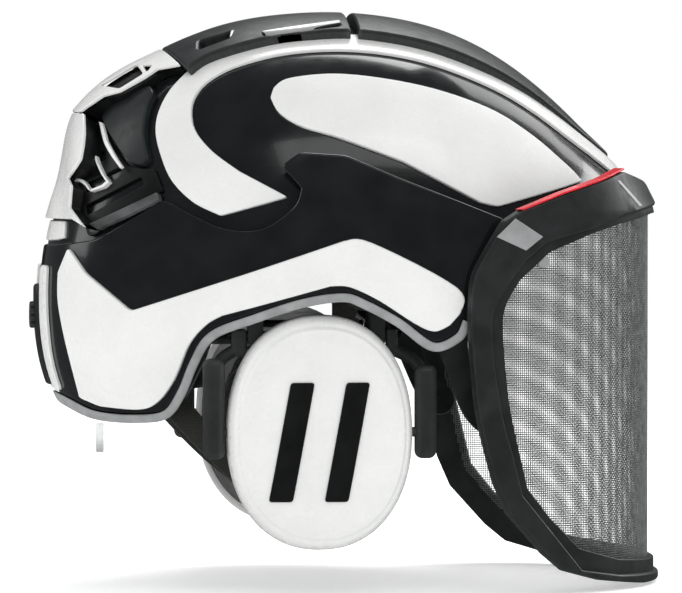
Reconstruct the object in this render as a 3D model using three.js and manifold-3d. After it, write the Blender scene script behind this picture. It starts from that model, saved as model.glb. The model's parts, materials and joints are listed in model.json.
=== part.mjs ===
// Forestry helmet: shell, side covers, mesh visor, swing-out ear muffs, harness and chin strap.
// Millimetres, +X forward, +Y to the wearer's left, +Z up; the visor pivot axis is the Y axis.
import * as THREE from 'three';
import { mergeVertices } from 'three/addons/utils/BufferGeometryUtils.js';
import Module from 'manifold-3d';

const wasm = await Module();
wasm.setup();

// ---------- driving dimensions ----------
const HALF_WIDTH = 104; // dome half width at the pivot
const DOME = [[0, 158], [22, 153], [36, 143], [55, 137], [80, 135], [100, 138], [120, 147],
  [140, 157], [160, 159], [180, 161], [200, 162], [215, 152], [240, 140], [270, 140],
  [300, 145], [330, 152]]; // side-view radius of the dome by angle
const COVER = [[0, 158], [22, 156], [36, 152], [55, 150], [80, 149], [100, 150], [120, 152],
  [140, 158], [160, 159], [180, 161], [200, 162], [215, 152], [240, 140], [270, 140],
  [300, 145], [330, 152]]; // the same for the side covers
const ARM_SWEEP = [[0, 158], [180, 158]]; // round, so the visor arms can turn under the covers
const SHELL_WALL = 3;
const GAP = 0.3; // fitting gap between neighbouring pieces
const PANEL = 1.7; // thickness of the applied colour panels
const COVER_WALL = 2.4;
const POCKET = 5.6; // space under the covers for the visor arms
const ROUND_STEPS = 36;
const RISE_STEPS = 6;
const PIN_RADIUS = 4;
const VISOR_REACH = 159.5; // visor front, measured from the pivot
const VISOR_HALF = 116.5;
const FRAME_WALL = 2.6;
const LEAN = 0.53; // how far the top bar leans back per millimetre of height
const CUP = { x: -26.5, z: -72, a: 47, b: 59.5, power: 2.2, back: 98, face: 124.4 };
const HINGE = { y: 91, z: -23 }; // ear muff swing axis
const TILT = { y: 102, z: -72 }; // cup tilt axis
const LEGS = [-80, 27.5];
const BAND_TILT = 17; // headband, degrees
const BAND = { x: -8, z: 14, a: 104, b: 80, tall: 22 };
const KNOB_Z = -15;

// ---------- finishes ----------
const finish = (color, roughness, metalness = 0) => ({ color, roughness, metalness });
const BLACK_GLOSS = finish(0x15191c, 0.12);
const BLACK_SATIN = finish(0x1d2221, 0.45);
const DARK_GREY = finish(0x33383a, 0.4);
const WHITE = finish(0xececea, 0.3);
const GREY = finish(0x9a9c9c, 0.5);
const RED = finish(0xc81e2a, 0.4);
const FOAM = finish(0x3a3d3f, 0.95);
const WEBBING = finish(0x5c6054, 0.9);
const STEEL = finish(0xb4b8ba, 0.3, 1);
const MESH_GREY = finish(0x4c504f, 0.5, 0.8);
const CLEAR = finish(0xdfe4e4, 0.2);

const group = new THREE.Group();
group.name = 'forestry_helmet';

// ---------- tools ----------
function toSolid(source) {
  const plain = source.clone();
  plain.deleteAttribute('normal');
  plain.deleteAttribute('uv');
  const welded = mergeVertices(plain, 1e-4);
  return new wasm.Manifold(new wasm.Mesh({
    numProp: 3,
    vertProperties: new Float32Array(welded.attributes.position.array),
    triVerts: new Uint32Array(welded.index.array),
  }));
}

function place(name, solid, look) {
  const mesh = solid.getMesh();
  const geometry = new THREE.BufferGeometry();
  geometry.setAttribute('position', new THREE.BufferAttribute(mesh.vertProperties, 3));
  geometry.setIndex(new THREE.BufferAttribute(mesh.triVerts, 1));
  geometry.computeVertexNormals();
  const node = new THREE.Mesh(geometry, new THREE.MeshStandardMaterial(look));
  node.name = name;
  group.add(node);
}

function placePair(name, solid, look) {
  place(`${name}_right`, solid, look);
  place(`${name}_left`, solid.mirror([0, 1, 0]), look);
}

function radiusAt(profile, degrees) {
  const count = profile.length;
  const angle = ((degrees % 360) + 360) % 360;
  let i = count - 1;
  while (profile[i][0] > angle) i -= 1;
  const row = (k) => {
    const turns = Math.floor(k / count);
    const [a, r] = profile[k - turns * count];
    return [a + turns * 360, r];
  };
  const [p0, p1, p2, p3] = [row(i - 1), row(i), row(i + 1), row(i + 2)];
  const span = p2[0] - p1[0];
  const t = (angle - p1[0]) / span;
  const m1 = ((p2[1] - p0[1]) / (p2[0] - p0[0])) * span;
  const m2 = ((p3[1] - p1[1]) / (p3[0] - p1[0])) * span;
  return (2 * t ** 3 - 3 * t * t + 1) * p1[1] + (t ** 3 - 2 * t * t + t) * m1
    + (3 * t * t - 2 * t ** 3) * p2[1] + (t ** 3 - t * t) * m2;
}

// A closed body that bulges sideways from its side-view profile; grow moves its skin outward.
function bulge(profile, grow, steps = ROUND_STEPS) {
  const positions = [];
  const growAt = typeof grow === 'function' ? grow : () => grow;
  const rings = 2 * RISE_STEPS - 1;
  for (let j = 1; j <= rings; j += 1) {
    const turn = (j / RISE_STEPS - 1) * (Math.PI / 2);
    const share = Math.cos(turn);
    const side = Math.sign(turn) * (1 - share ** 2.3) ** (1 / 2.1);
    for (let i = 0; i < steps; i += 1) {
      const angle = (i * 2 * Math.PI) / steps;
      const radius = radiusAt(profile, (i * 360) / steps);
      const extra = growAt(share * radius * Math.cos(angle));
      const reach = share * (radius + extra);
      positions.push(reach * Math.cos(angle), side * (HALF_WIDTH + extra), reach * Math.sin(angle));
    }
  }
  const pole = HALF_WIDTH + growAt(0);
  positions.push(0, -pole, 0, 0, pole, 0);
  const near = rings * steps;
  const index = [];
  for (let i = 0; i < steps; i += 1) {
    const next = (i + 1) % steps;
    index.push(near, i, next);
    for (let j = 0; j < rings - 1; j += 1) {
      const a = j * steps + i;
      const b = j * steps + next;
      index.push(a, a + steps, b, b, a + steps, b + steps);
    }
    const last = (rings - 1) * steps;
    index.push(near + 1, last + next, last + i);
  }
  return fromArrays(positions, index);
}

function fromArrays(positions, index) {
  const solid = new wasm.Manifold(new wasm.Mesh({
    numProp: 3,
    vertProperties: new Float32Array(positions),
    triVerts: new Uint32Array(index),
  }));
  if (solid.volume() > 0) return solid;
  const flipped = [];
  for (let i = 0; i < index.length; i += 3) flipped.push(index[i], index[i + 2], index[i + 1]);
  return new wasm.Manifold(new wasm.Mesh({
    numProp: 3,
    vertProperties: new Float32Array(positions),
    triVerts: new Uint32Array(flipped),
  }));
}

const layer = (profile, from, to) => bulge(profile, to).subtract(bulge(profile, from));

// Side-view outline: a run of three or more points is a smooth curve, shorter runs are corners.
function outline(...runs) {
  const points = [];
  for (const run of runs) {
    const corners = run.map(([x, z]) => new THREE.Vector2(x, z));
    if (corners.length < 3) points.push(...corners);
    else {
      const cuts = corners.length > 7 ? corners.length - 1 : (corners.length - 1) * 2;
      points.push(...new THREE.SplineCurve(corners).getPoints(cuts));
    }
  }
  return points;
}

function prism(points, from, to) {
  const shape = new THREE.Shape(points);
  const body = new THREE.ExtrudeGeometry(shape, { depth: to - from, bevelEnabled: false });
  body.rotateX(Math.PI / 2);
  body.translate(0, to, 0);
  return toSolid(body);
}

// A line moved sideways by a distance, to the left of its direction.
function shifted(points, distance) {
  return points.map((point, i) => {
    const before = points[Math.max(i - 1, 0)];
    const after = points[Math.min(i + 1, points.length - 1)];
    const way = after.clone().sub(before).normalize();
    return new THREE.Vector2(point.x - way.y * distance, point.y + way.x * distance);
  });
}

function box(x0, x1, y0, y1, z0, z1) {
  const body = new THREE.BoxGeometry(x1 - x0, y1 - y0, z1 - z0);
  body.translate((x0 + x1) / 2, (y0 + y1) / 2, (z0 + z1) / 2);
  return toSolid(body);
}

function rod(start, end, radius, sides = 12) {
  const a = new THREE.Vector3(...start);
  const b = new THREE.Vector3(...end);
  const body = new THREE.CylinderGeometry(radius, radius, a.distanceTo(b), sides);
  const turn = new THREE.Quaternion().setFromUnitVectors(
    new THREE.Vector3(0, 1, 0), b.clone().sub(a).normalize());
  body.applyQuaternion(turn);
  const middle = a.add(b).multiplyScalar(0.5);
  body.translate(middle.x, middle.y, middle.z);
  return toSolid(body);
}

// A flat strap through the points, lying with its face towards the given direction.
function ribbon(points, facing, width, thick) {
  const path = points.map((p) => new THREE.Vector3(...p));
  const face = new THREE.Vector3(...facing).normalize();
  const positions = [];
  const index = [];
  path.forEach((p, i) => {
    const before = path[Math.max(i - 1, 0)];
    const after = path[Math.min(i + 1, path.length - 1)];
    const along = after.clone().sub(before).normalize();
    const across = along.clone().cross(face).normalize();
    const up = across.clone().cross(along).normalize();
    for (const [s, t] of [[-1, -1], [1, -1], [1, 1], [-1, 1]]) {
      const corner = p.clone().addScaledVector(across, (s * width) / 2);
      corner.addScaledVector(up, (t * thick) / 2);
      positions.push(corner.x, corner.y, corner.z);
    }
  });
  index.push(0, 1, 2, 0, 2, 3);
  for (let i = 0; i < path.length - 1; i += 1) {
    for (let k = 0; k < 4; k += 1) {
      const a = i * 4 + k;
      const b = i * 4 + ((k + 1) % 4);
      index.push(a, a + 4, b, b, a + 4, b + 4);
    }
  }
  const e = (path.length - 1) * 4;
  index.push(e, e + 2, e + 1, e, e + 3, e + 2);
  return fromArrays(positions, index);
}

function smoothPath(points, count) {
  const curve = new THREE.CatmullRomCurve3(points.map((p) => new THREE.Vector3(...p)));
  return curve.getPoints(count).map((p) => [p.x, p.y, p.z]);
}

const ease = (from, to, x) => {
  const t = Math.min(Math.max((x - from) / (to - from), 0), 1);
  return t * t * (3 - 2 * t);
};

const RIGHT = [-200, -0.2];
const FAR = 260;

// ---------- shell ----------
const domeRim = outline(
  [[152, 57], [120, 50], [95, 38], [72, 20], [56, -4], [49, -20], [40, -26], [29, -28],
    [12, -16], [-4, -6], [-16, -3], [-37, -6], [-60, -14], [-78, -22], [-86, -40],
    [-97, -61], [-112, -65], [-137, -65], [-160, -58]],
  [[-FAR, -58], [-FAR, FAR]], [[FAR, FAR], [FAR, 57]]);
const ventSlots = [
  [[-142, 36], [-112, 53], [-114, 58], [-143, 42]],
  [[-142, 48], [-122, 58], [-124, 63], [-142, 54]],
  [[-139.5, 61], [-130, 66], [-131.5, 72], [-138.5, 68]],
];
let shell = layer(DOME, -SHELL_WALL, 0).intersect(prism(domeRim, -200, 200));
shell = shell.subtract(rod([0, -130, 0], [0, 130, 0], PIN_RADIUS + 0.4, 20));
shell = shell.subtract(rod([-180, 0, KNOB_Z], [-120, 0, KNOB_Z], 4, 16));
for (const slot of ventSlots) {
  const cut = prism(outline(...slot.map((p) => [p])), -64, -14);
  shell = shell.subtract(cut).subtract(cut.mirror([0, 1, 0]));
}
for (const x of [-94, -64, -30, 30, 62]) {
  shell = shell.subtract(box(x - 9, x + 9, -7, 7, 90, 160));
}
place('outer_shell', shell, BLACK_GLOSS);

const liner = bulge(DOME, -SHELL_WALL - 0.4).subtract(bulge(DOME, -16, 24)).intersect(
  prism(outline([[120, 66], [60, 40], [20, 32], [-60, 32], [-110, 34], [-150, 36]],
    [[-FAR, 36], [-FAR, FAR]], [[FAR, FAR], [FAR, 66]]), -200, 200));
place('inner_liner', liner.subtract(box(-40, 40, -9, 9, 80, 160)), FOAM);

// ---------- side covers, trim and colour panels ----------
const pocket = (x) => 0.4 + (POCKET - 0.4) * ease(-92, -44, x);
const coverFace = (x) => pocket(x) + COVER_WALL;
const rimLine = outline([[50, -17], [45, -26], [30, -31], [11, -18], [-6, -9], [-16, -6],
  [-36, -9], [-60, -17], [-79, -25], [-87, -38], [-93, -54], [-101, -66], [-116, -69],
  [-137, -68], [-153, -61], [-172, -52]]).reverse();
const trimTop = shifted(rimLine, 4.5);
const coverLow = shifted(rimLine, 4.8);
const coverOutline = [
  ...coverLow,
  ...outline([[49, -14], [52, 5], [60, 21], [68, 36]], [[14, 57]], [[-13, 68.5]], [[-36, 70]],
    [[-46, 63]], [[-36, 52], [-40, 42], [-56, 31], [-74, 31], [-88, 37]], [[-104, 46]],
    [[-138, 25]], [[-185, 18]]),
];
const coverBand = layer(COVER, pocket, coverFace);
const sideRegion = prism(coverOutline, ...RIGHT).subtract(box(-200, -120, -16, 0, -80, 40));
placePair('side_cover', coverBand.intersect(sideRegion), BLACK_GLOSS);

const trimBand = layer(COVER, pocket, (x) => coverFace(x) + 0.9);
const trimRegion = prism([...rimLine, ...trimTop.slice().reverse()], -200, 200);
place('rim_trim', trimBand.intersect(trimRegion), GREY);

const panelBand = layer(COVER, (x) => coverFace(x) + GAP, (x) => coverFace(x) + GAP + PANEL);
const bandOutline = outline([[44.5, -12], [43, 1], [-1, 24], [-15, 25]], [[-121, -11]],
  [[-143, 8]], [[-151, 21]], [[-156, 8], [-156, -8], [-152, -30], [-145, -57]],
  [[-135, -61], [-116, -62], [-107, -58], [-99, -46], [-92, -28], [-84, -18], [-76, -13]],
  [[-22, 2], [-12, 1.5], [3, -5.5], [21, -17], [31, -21], [39, -18]]);
placePair('band_panel', panelBand.intersect(prism(bandOutline, ...RIGHT)), WHITE);

const stripOutline = outline([[-170, 12], [-160, 6]], [[-160, -20], [-157, -36], [-151.5, -53]],
  [[-156, -55.5], [-170, -46]]);
const strip = layer(COVER, 3.1, 4.8).intersect(prism(stripOutline, -29, -16.4));
placePair('rear_strip', strip, WHITE);

const domePanels = layer(DOME, GAP, GAP + PANEL);
const swoosh = outline(
  [[143, 60.5], [120, 78], [91, 99.5], [66, 113.5], [36, 124.8], [1, 130.8], [-28, 130],
    [-51, 126.5], [-79, 118], [-95, 106], [-104, 93], [-107, 80], [-104, 65], [-99, 54],
    [-89, 44], [-76, 37.5]],
  [[-42, 47]], [[-66, 60], [-79, 70], [-87, 80], [-89, 89], [-87, 98], [-79, 107],
    [-63, 115], [-35, 121.5], [-1, 122.5], [33, 117], [66, 105], [89, 92.5], [112, 76], [138, 57]]);
placePair('swoosh_panel', domePanels.intersect(prism(swoosh, ...RIGHT)), WHITE);

const teardrop = outline([[-49, 98], [-45, 90], [-34, 83], [-15, 77], [17, 65]], [[57, 44]],
  [[66, 42], [110, 54], [112, 57], [103, 66], [86, 80], [64, 93], [30, 104], [-10, 110],
    [-38, 108], [-47, 103]]);
placePair('teardrop_panel', domePanels.intersect(prism(teardrop, ...RIGHT)), WHITE);

// ---------- crest ----------
const crestRise = (x) => 7.2 - 4.4 * ease(40, 140, x) + 7.6 * ease(-92, -146, x);
const crestLow = outline([[150, 59], [120, 80], [91, 101.5], [66, 115.5], [36, 126.8],
  [1, 132.8], [-28, 132], [-51, 128.5], [-79, 120], [-92, 111]]);
const crestBand = layer(DOME, GAP, crestRise);
const crestRegion = prism([...crestLow, ...outline([[-FAR, 111], [-FAR, FAR]],
  [[FAR, FAR], [FAR, 59]])], -60, 60);
const crest = crestBand.intersect(crestRegion);
const sideSlot = (points) => prism(outline(...points.map((p) => [p])), -60, 60);
const frontCrest = crest.intersect(box(-1, 200, -60, 60, 40, 200));
place('crest_cover_front', frontCrest, DARK_GREY);
const midCrest = crest.intersect(box(-91, -3, -60, 60, 40, 200))
  .subtract(sideSlot([[-46, 132.5], [-10, 135], [-10, 139], [-44, 137.5]]))
  .subtract(sideSlot([[-82, 122], [-62, 129], [-62, 133.5], [-78, 130]]));
place('crest_cover_middle', midCrest, DARK_GREY);
const tailOutline = outline([[-93, 180]], [[-93, 114]], [[-103.5, 111.6]],
  [[-109.8, 106.8]], [[-122.8, 99.3]], [[-130.6, 97.5]], [[-139, 91.8]], [[-142, 89.2]],
  [[-180, 89.2]], [[-180, 180]]);
const sideWindow = (points) => {
  const right = prism(outline(...points.map((p) => [p])), -70, -15);
  return right.add(right.mirror([0, 1, 0]));
};
const tailCrest = crestBand.intersect(prism(tailOutline, -58, 58))
  .subtract(sideWindow([[-131.2, 103.4], [-112.8, 114.2], [-110.4, 108.6], [-122.6, 101]]))
  .subtract(sideWindow([[-110.2, 113.8], [-105.2, 113.6], [-108.6, 109.4]]));
place('crest_cover_rear', tailCrest, WHITE);

const spineRise = (x) => 4.3 + 9 * ease(-152, -133, x);
const spineEdge = outline([[-141.5, 88.2]], [[-142.3, 79.4], [-143.9, 68.1], [-150.4, 56.3]],
  [[-149, 52.7]], [[-150, 41.4]], [[-143.2, 30.8]], [[-149.2, 34.2]], [[-150.2, 25.2]],
  [[-180, 23]], [[-180, 88.2]]);
const curl = outline([[-150, 54.4]], [[-146, 56.6], [-142.8, 56], [-140.6, 52.8], [-139.4, 50.6]],
  [[-140.8, 50]], [[-142.4, 52.4], [-145, 53.6], [-150, 52.8]]);
const blade = layer(DOME, 2.3, 6.4).intersect(prism(outline([[-138.6, 73]],
  [[-136.9, 71.4], [-134.4, 63.1], [-131.7, 58]], [[-130.4, 54.9]], [[-134.6, 50.4]],
  [[-140.8, 49.4]], [[-140, 51.6]], [[-134.6, 53.2]], [[-133.8, 56.4]],
  [[-136, 62], [-137.6, 67], [-138.6, 73]]), -80, -10));
const spine = layer(DOME, GAP, spineRise).intersect(prism(spineEdge, -56, 56))
  .add(layer(DOME, 2.3, 4.3).intersect(prism(curl, -60, 60)))
  .add(blade).add(blade.mirror([0, 1, 0]))
  .add(layer(DOME, GAP, 4.3).intersect(box(-180, -140, -7, 7, 18, 30)));
place('rear_spine', spine, WHITE);

// ---------- rear vent grilles ----------
const grilleOutline = outline([[-104, 50]], [[-108, 61.5]], [[-113.6, 61.4]], [[-120.6, 62.6]],
  [[-126, 69.9], [-130.9, 79.6], [-133.9, 87.2]], [[-132, 95]], [[-138.5, 90.4]], [[-140.8, 88]],
  [[-141.6, 79.4], [-143.1, 68.1], [-149.6, 56.4]], [[-148.2, 52.7]], [[-149.2, 41.7]],
  [[-142.2, 31.2]], [[-141, 26.8]], [[-138, 27]]);
let grille = layer(DOME, GAP, 2).intersect(prism(grilleOutline, -84, -9));
for (const slot of ventSlots) {
  grille = grille.subtract(prism(outline(...slot.map((p) => [p])), -70, -13));
}
const ventPanel = outline([[-118.9, 99.6]], [[-108, 104.6]], [[-106.9, 100.6], [-110.3, 93.9],
  [-112.3, 85.1], [-112.7, 75.9], [-111, 66.7]], [[-114.5, 63.1]], [[-119.8, 64.1]],
  [[-124.9, 70.8], [-129.7, 80.1], [-132.5, 87.5]], [[-130.5, 95]]);
const ventCover = layer(DOME, GAP, 4).intersect(prism(ventPanel, -84, -8));
const ventLink = layer(DOME, GAP, 2).intersect(prism(outline([[-131.6, 79]], [[-121, 61.6]],
  [[-113, 60.5]], [[-112.6, 66]], [[-121, 66.5]], [[-129, 82]]), -84, -9));
placePair('vent_grille', grille.add(ventCover).add(ventLink), BLACK_SATIN);
const fin = layer(DOME, 4.3, 7.4).intersect(prism(outline([[-134.1, 85.8]], [[-131.6, 85]],
  [[-130.2, 75.9], [-126.6, 68.2], [-123.4, 62.6]], [[-125.8, 61.4]],
  [[-129.4, 67], [-132.6, 74.9], [-134.1, 85.8]]), -80, -10));
placePair('vent_fin', fin, WHITE);
// ---------- visor ----------
function visorBody(offset, from) {
  const reach = VISOR_REACH + offset;
  const half = VISOR_HALF + offset;
  const edge = [];
  for (let i = 0; i <= 13; i += 1) {
    const turn = (i / 13) * (Math.PI / 2);
    const x = from + (reach - from) * Math.sin(turn);
    edge.push(new THREE.Vector2(x, half * Math.max(1 - (x / reach) ** 3, 0) ** (1 / 2.2)));
  }
  const other = edge.slice(0, -1).reverse().map((p) => new THREE.Vector2(p.x, -p.y));
  const body = new THREE.ExtrudeGeometry(new THREE.Shape([...edge, ...other]),
    { depth: 240, steps: 8, bevelEnabled: false });
  body.translate(0, 0, -170);
  // Above the mesh the front leans back towards the shell.
  const place = body.attributes.position;
  for (let i = 0; i < place.count; i += 1) {
    const above = Math.max(place.getZ(i) - 40, 0);
    const front = (place.getX(i) / reach) ** 3;
    place.setX(i, place.getX(i) - LEAN * above * front);
  }
  return toSolid(body);
}
const visorLayer = (inside, outside) => visorBody(outside, 30).subtract(visorBody(inside, 20));
const frameEdge = outline([[66, 35], [56, 19], [50, 7], [48.5, -6], [48.5, -23], [50, -42],
  [53, -66], [61, -97]], [[68, -113]], [[87, -134]], [[98, -143]], [[119, -149]],
  [[145, -153]], [[180, -154]], [[180, 49.5]], [[156, 50.5]], [[147, 55.5]], [[132, 60]], [[118, 55]],
  [[96, 48]], [[74, 40]]);
const lipEdge = outline([[88, 24]], [[77, 15], [66, 0], [60, -12], [59.5, -26], [61, -42],
  [65, -66], [70, -84], [75, -104]], [[93, -126]], [[107, -143]], [[130, -147]],
  [[200, -150]], [[200, 43]], [[156, 43]], [[131, 37]], [[114, 31]]);
const opening = outline([[91, 19]], [[75, 5], [67, -9], [66, -24], [68, -48], [71, -67],
  [79, -101]], [[91, -116]], [[107, -132]], [[130, -139]], [[147, -141]],
  [[200, -142]], [[200, 38]], [[154, 38]], [[131, 33]], [[114, 28]]);
const frame = visorLayer(-FRAME_WALL, 0).intersect(prism(frameEdge, -200, 200))
  .add(visorLayer(-FRAME_WALL, 2.4)
    .intersect(prism(frameEdge, -200, 200).subtract(prism(lipEdge, -200, 200))))
  .subtract(prism(opening, -200, 200));
place('visor_frame', frame, BLACK_SATIN);
const meshEdge = outline([[88.5, 22]], [[73, 6], [64, -9], [63, -24], [65, -48], [68, -68],
  [76, -103]], [[89, -119]], [[106, -135]], [[130, -142]], [[147, -144.5]],
  [[200, -145]], [[200, 42]], [[154, 42]], [[131, 36]], [[114, 31]]);
place('visor_mesh', visorLayer(-FRAME_WALL - GAP - 0.8, -FRAME_WALL - GAP)
  .intersect(prism(meshEdge, -200, 200)), MESH_GREY);
const accentEdge = outline([[72, 41]], [[96, 50]], [[118, 57]], [[132, 62.7]], [[145, 58.8]],
  [[145, 56.6]], [[132, 60.5]], [[118, 55.4]], [[96, 48.4]], [[75, 40.4]]);
placePair('brow_accent', visorLayer(-FRAME_WALL, 1.2).intersect(prism(accentEdge, ...RIGHT)), RED);

const armOutline = outline([[-9, 9], [4, 12], [24, 18], [56, 29], [79, 35.5], [87, 31],
  [86, 23], [70, 14], [56, 2], [50, -14], [50, -34], [56, -50], [67, -62], [65, -71],
  [57, -73], [48, -64], [40, -46], [34, -31], [22, -18], [4, -12], [-9, -9], [-12, 0],
  [-9, 9]]);
let arm = bulge(ARM_SWEEP, 3, 24).subtract(bulge(ARM_SWEEP, 1.2, 24))
 .intersect(prism(armOutline, ...RIGHT));
arm = arm.add(rod([80, -93.2, 27.5], [80, -105.5, 27.5], 3.5, 10));
arm = arm.add(rod([60, -91.8, -66], [60, -109.7, -66], 3.5, 10));
arm = arm.subtract(rod([0, -120, 0], [0, -90, 0], PIN_RADIUS + 0.3, 20));
placePair('visor_arm', arm, BLACK_SATIN);
const pin = rod([0, -97.2, 0], [0, -100.3, 0], 8, 18)
  .add(rod([0, -100, 0], [0, -109, 0], PIN_RADIUS, 14))
  .add(rod([0, -107.4, 0], [0, -109, 0], 7, 18));
placePair('visor_pivot_pin', pin, STEEL);

// ---------- ear muffs ----------
function cupRing(scale, y, inset, steps) {
  const ring = [];
  for (let i = 0; i < steps; i += 1) {
    const angle = (i * 2 * Math.PI) / steps;
    const c = Math.cos(angle);
    const s = Math.sin(angle);
    const reach = 1 / (Math.abs(c) ** CUP.power + Math.abs(s) ** CUP.power) ** (1 / CUP.power);
    ring.push(CUP.x + c * reach * (CUP.a - inset) * scale, -y,
      CUP.z + s * reach * (CUP.b - inset) * scale);
  }
  return ring;
}
// Stacked rings closed at both ends by a middle point.
function stacked(levels, inset = 0, steps = 28) {
  const positions = [];
  const index = [];
  levels.forEach(([scale, y]) => positions.push(...cupRing(scale, y, inset, steps)));
  const last = levels.length - 1;
  positions.push(CUP.x, -levels[0][1], CUP.z, CUP.x, -levels[last][1] - 0.4, CUP.z);
  const ends = levels.length * steps;
  for (let i = 0; i < steps; i += 1) {
    const next = (i + 1) % steps;
    index.push(ends, next, i);
    for (let k = 0; k < last; k += 1) {
      const a = k * steps + i;
      const b = k * steps + next;
      index.push(a, b, a + steps, b, b + steps, a + steps);
    }
    index.push(ends + 1, last * steps + i, last * steps + next);
  }
  return fromArrays(positions, index);
}
const cupLevels = (out) => [[1, CUP.back], [0.995, 109], [0.94, 116],
  [0.8, 120.7], [0.5, 123.4]].map(([s, y]) => [s, y + out]);
const cupInside = [[1, 97], [0.98, 107], [0.9, 113.5], [0.55, 119]];
let cup = stacked(cupLevels(0)).subtract(stacked(cupInside, 3));
for (const x of [CUP.x - CUP.a + 4.5, CUP.x + CUP.a - 4.5]) {
  cup = cup.add(box(x - 4, x + 4, -106, -98.4, TILT.z - 6, TILT.z + 6));
}
const pivotHoles = rod([-90, -TILT.y, TILT.z], [CUP.x - 41, -TILT.y, TILT.z], 2.8, 16)
  .add(rod([CUP.x + 41, -TILT.y, TILT.z], [40, -TILT.y, TILT.z], 2.8, 16));
placePair('ear_cup', cup.subtract(pivotHoles), WHITE);

const inlayBand = stacked(cupLevels(1.1), -1.1).subtract(stacked(cupLevels(GAP), -GAP));
// Plain slanted bars set on the face of each cup.
const bar = (x) => inlayBand.intersect(prism(outline(
  [[x + 4, -46]], [[x + 16, -46]], [[x + 5, -106]], [[x - 7, -106]]), -140, -110));
placePair('cup_inlay_rear', bar(-47), BLACK_SATIN);
placePair('cup_inlay_front', bar(-19), BLACK_SATIN);

const ringLevels = [[0.94, 84.2], [1, 86.6], [1.02, 91], [1, 95], [0.94, 97.7]];
const ringHole = [[0.66, 80], [0.6, 84], [0.56, 90], [0.6, 96], [0.66, 100]];
const cushion = stacked(ringLevels, 9).subtract(stacked(ringHole, 9));
placePair('cushion_ring', cushion.scale([1, 1, 0.8]).translate([0, 0, -20.4]), BLACK_SATIN);
placePair('foam_insert', stacked([[0.8, 100.5], [0.8, 106], [0.74, 110]], 5), FOAM);

let fork = rod([-70, -HINGE.y, -31.5], [14, -HINGE.y, -31.5], 2.6);
LEGS.forEach((x, i) => {
  const knuckle = i === 0 ? [-70.5, -62.5] : [8.5, 14.5];
  const inner = i === 0 ? -69 : 13;
  const reach = i === 0 ? 9 : -9;
  fork = fork.add(box(knuckle[0], knuckle[1], -94, -88, -34, -20));
  fork = fork.add(rod([inner, -HINGE.y, -31], [x, -TILT.y, -46], 3.4));
  const leg = new THREE.CapsuleGeometry(6, 38, 4, 12);
  leg.rotateX(Math.PI / 2);
  leg.translate(x, -TILT.y, -63);
  fork = fork.add(toSolid(leg));
  fork = fork.add(rod([x, -TILT.y, TILT.z], [x + reach, -TILT.y, TILT.z], 2.5, 12));
});
const axle = (radius) => rod([-73, -HINGE.y, HINGE.z], [17, -HINGE.y, HINGE.z], radius, 14);
placePair('ear_fork', fork.subtract(axle(2.3)), BLACK_SATIN);
const plate = layer(DOME, -6.6, -SHELL_WALL - 0.4).intersect(
  prism(outline([[-66, -4]], [[-66, 8]], [[-48, 22]], [[-9.5, 22]], [[-9.5, -1]], [[-48, -1]]),
    ...RIGHT));
const lugs = box(-62, -54, -93.4, -88, -27.5, 4).add(box(0, 8, -94, -88, -27.5, -8))
  .add(box(-22, -10, -97.4, -88, -6, 5)).add(box(-10.5, 8, -96.8, -88, -8.5, 5));
placePair('hinge_bracket', plate.add(lugs).subtract(axle(2.3)), BLACK_SATIN);
placePair('hinge_pin', axle(2), STEEL);

// ---------- harness ----------
function ellipseWall(outerA, outerB, wall, tall) {
  const shape = new THREE.Shape();
  shape.absellipse(0, 0, outerA, outerB, 0, Math.PI * 2, false, 0);
  const hole = new THREE.Path();
  hole.absellipse(0, 0, outerA - wall, outerB - wall, 0, Math.PI * 2, true, 0);
  shape.holes.push(hole);
  const body = new THREE.ExtrudeGeometry(shape,
    { depth: tall, bevelEnabled: false, curveSegments: 18 });
  body.translate(0, 0, -tall / 2);
  return body;
}
function bandRing(grow, wall, tall) {
  const body = ellipseWall(BAND.a + grow, BAND.b + grow, wall, tall);
  body.rotateY((-BAND_TILT * Math.PI) / 180);
  body.translate(BAND.x, 0, BAND.z);
  return toSolid(body);
}
place('headband', bandRing(0, 2, BAND.tall).subtract(box(-200, -74, -100, 100, -100, 100)),
  BLACK_SATIN);
place('sweatband', bandRing(-2.3, 4, 30).intersect(box(10, 150, -100, 100, -100, 120)), FOAM);

function headShape(grow) {
  const body = new THREE.SphereGeometry(1, 24, 10);
  body.rotateX(Math.PI / 2);
  body.scale(107 + grow, 82.8 + grow, 90 + grow);
  body.translate(BAND.x, 0, 16);
  return toSolid(body);
}
const cross = box(-130, 110, -11, 11, 16, 130).add(box(-52, -30, -100, 100, 8, 130))
  .add(box(14, 36, -100, 100, 16, 130));
const aboveBand = prism(outline([[-200, -24]], [[-200, 200]], [[200, 200]], [[200, 92]]),
  -120, 120);
place('crown_straps', headShape(1.8).subtract(headShape(0)).intersect(cross)
  .intersect(aboveBand), WEBBING);
place('crown_pad', headShape(-0.4).subtract(headShape(-5)).intersect(
  box(-50, 36, -26, 26, 60, 130)), FOAM);

const cradleWall = ellipseWall(112, 84, 3, 40);
cradleWall.translate(BAND.x, 0, -42);
const cradleCut = prism(outline([[-130, -62]], [[-130, -20]], [[-108, -20]], [[-84, -32],
  [-78, -40], [-84, -52]], [[-104, -62]]), -100, 100);
let cradle = toSolid(cradleWall).intersect(cradleCut);
cradle = cradle.add(rod([-146, 0, KNOB_Z], [-117.5, 0, KNOB_Z], 7, 20))
  .add(box(-120, -117.2, -12, 12, -30, -8));
place('nape_cradle', cradle.subtract(rod([-150, 0, KNOB_Z], [-116, 0, KNOB_Z], 3.5, 16)),
  BLACK_SATIN);
const padWall = ellipseWall(108.6, 80.6, 6, 30);
padWall.translate(BAND.x, 0, -42);
place('nape_pad', toSolid(padWall).intersect(box(-130, -92, -60, 60, -80, 0)), FOAM);

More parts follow.
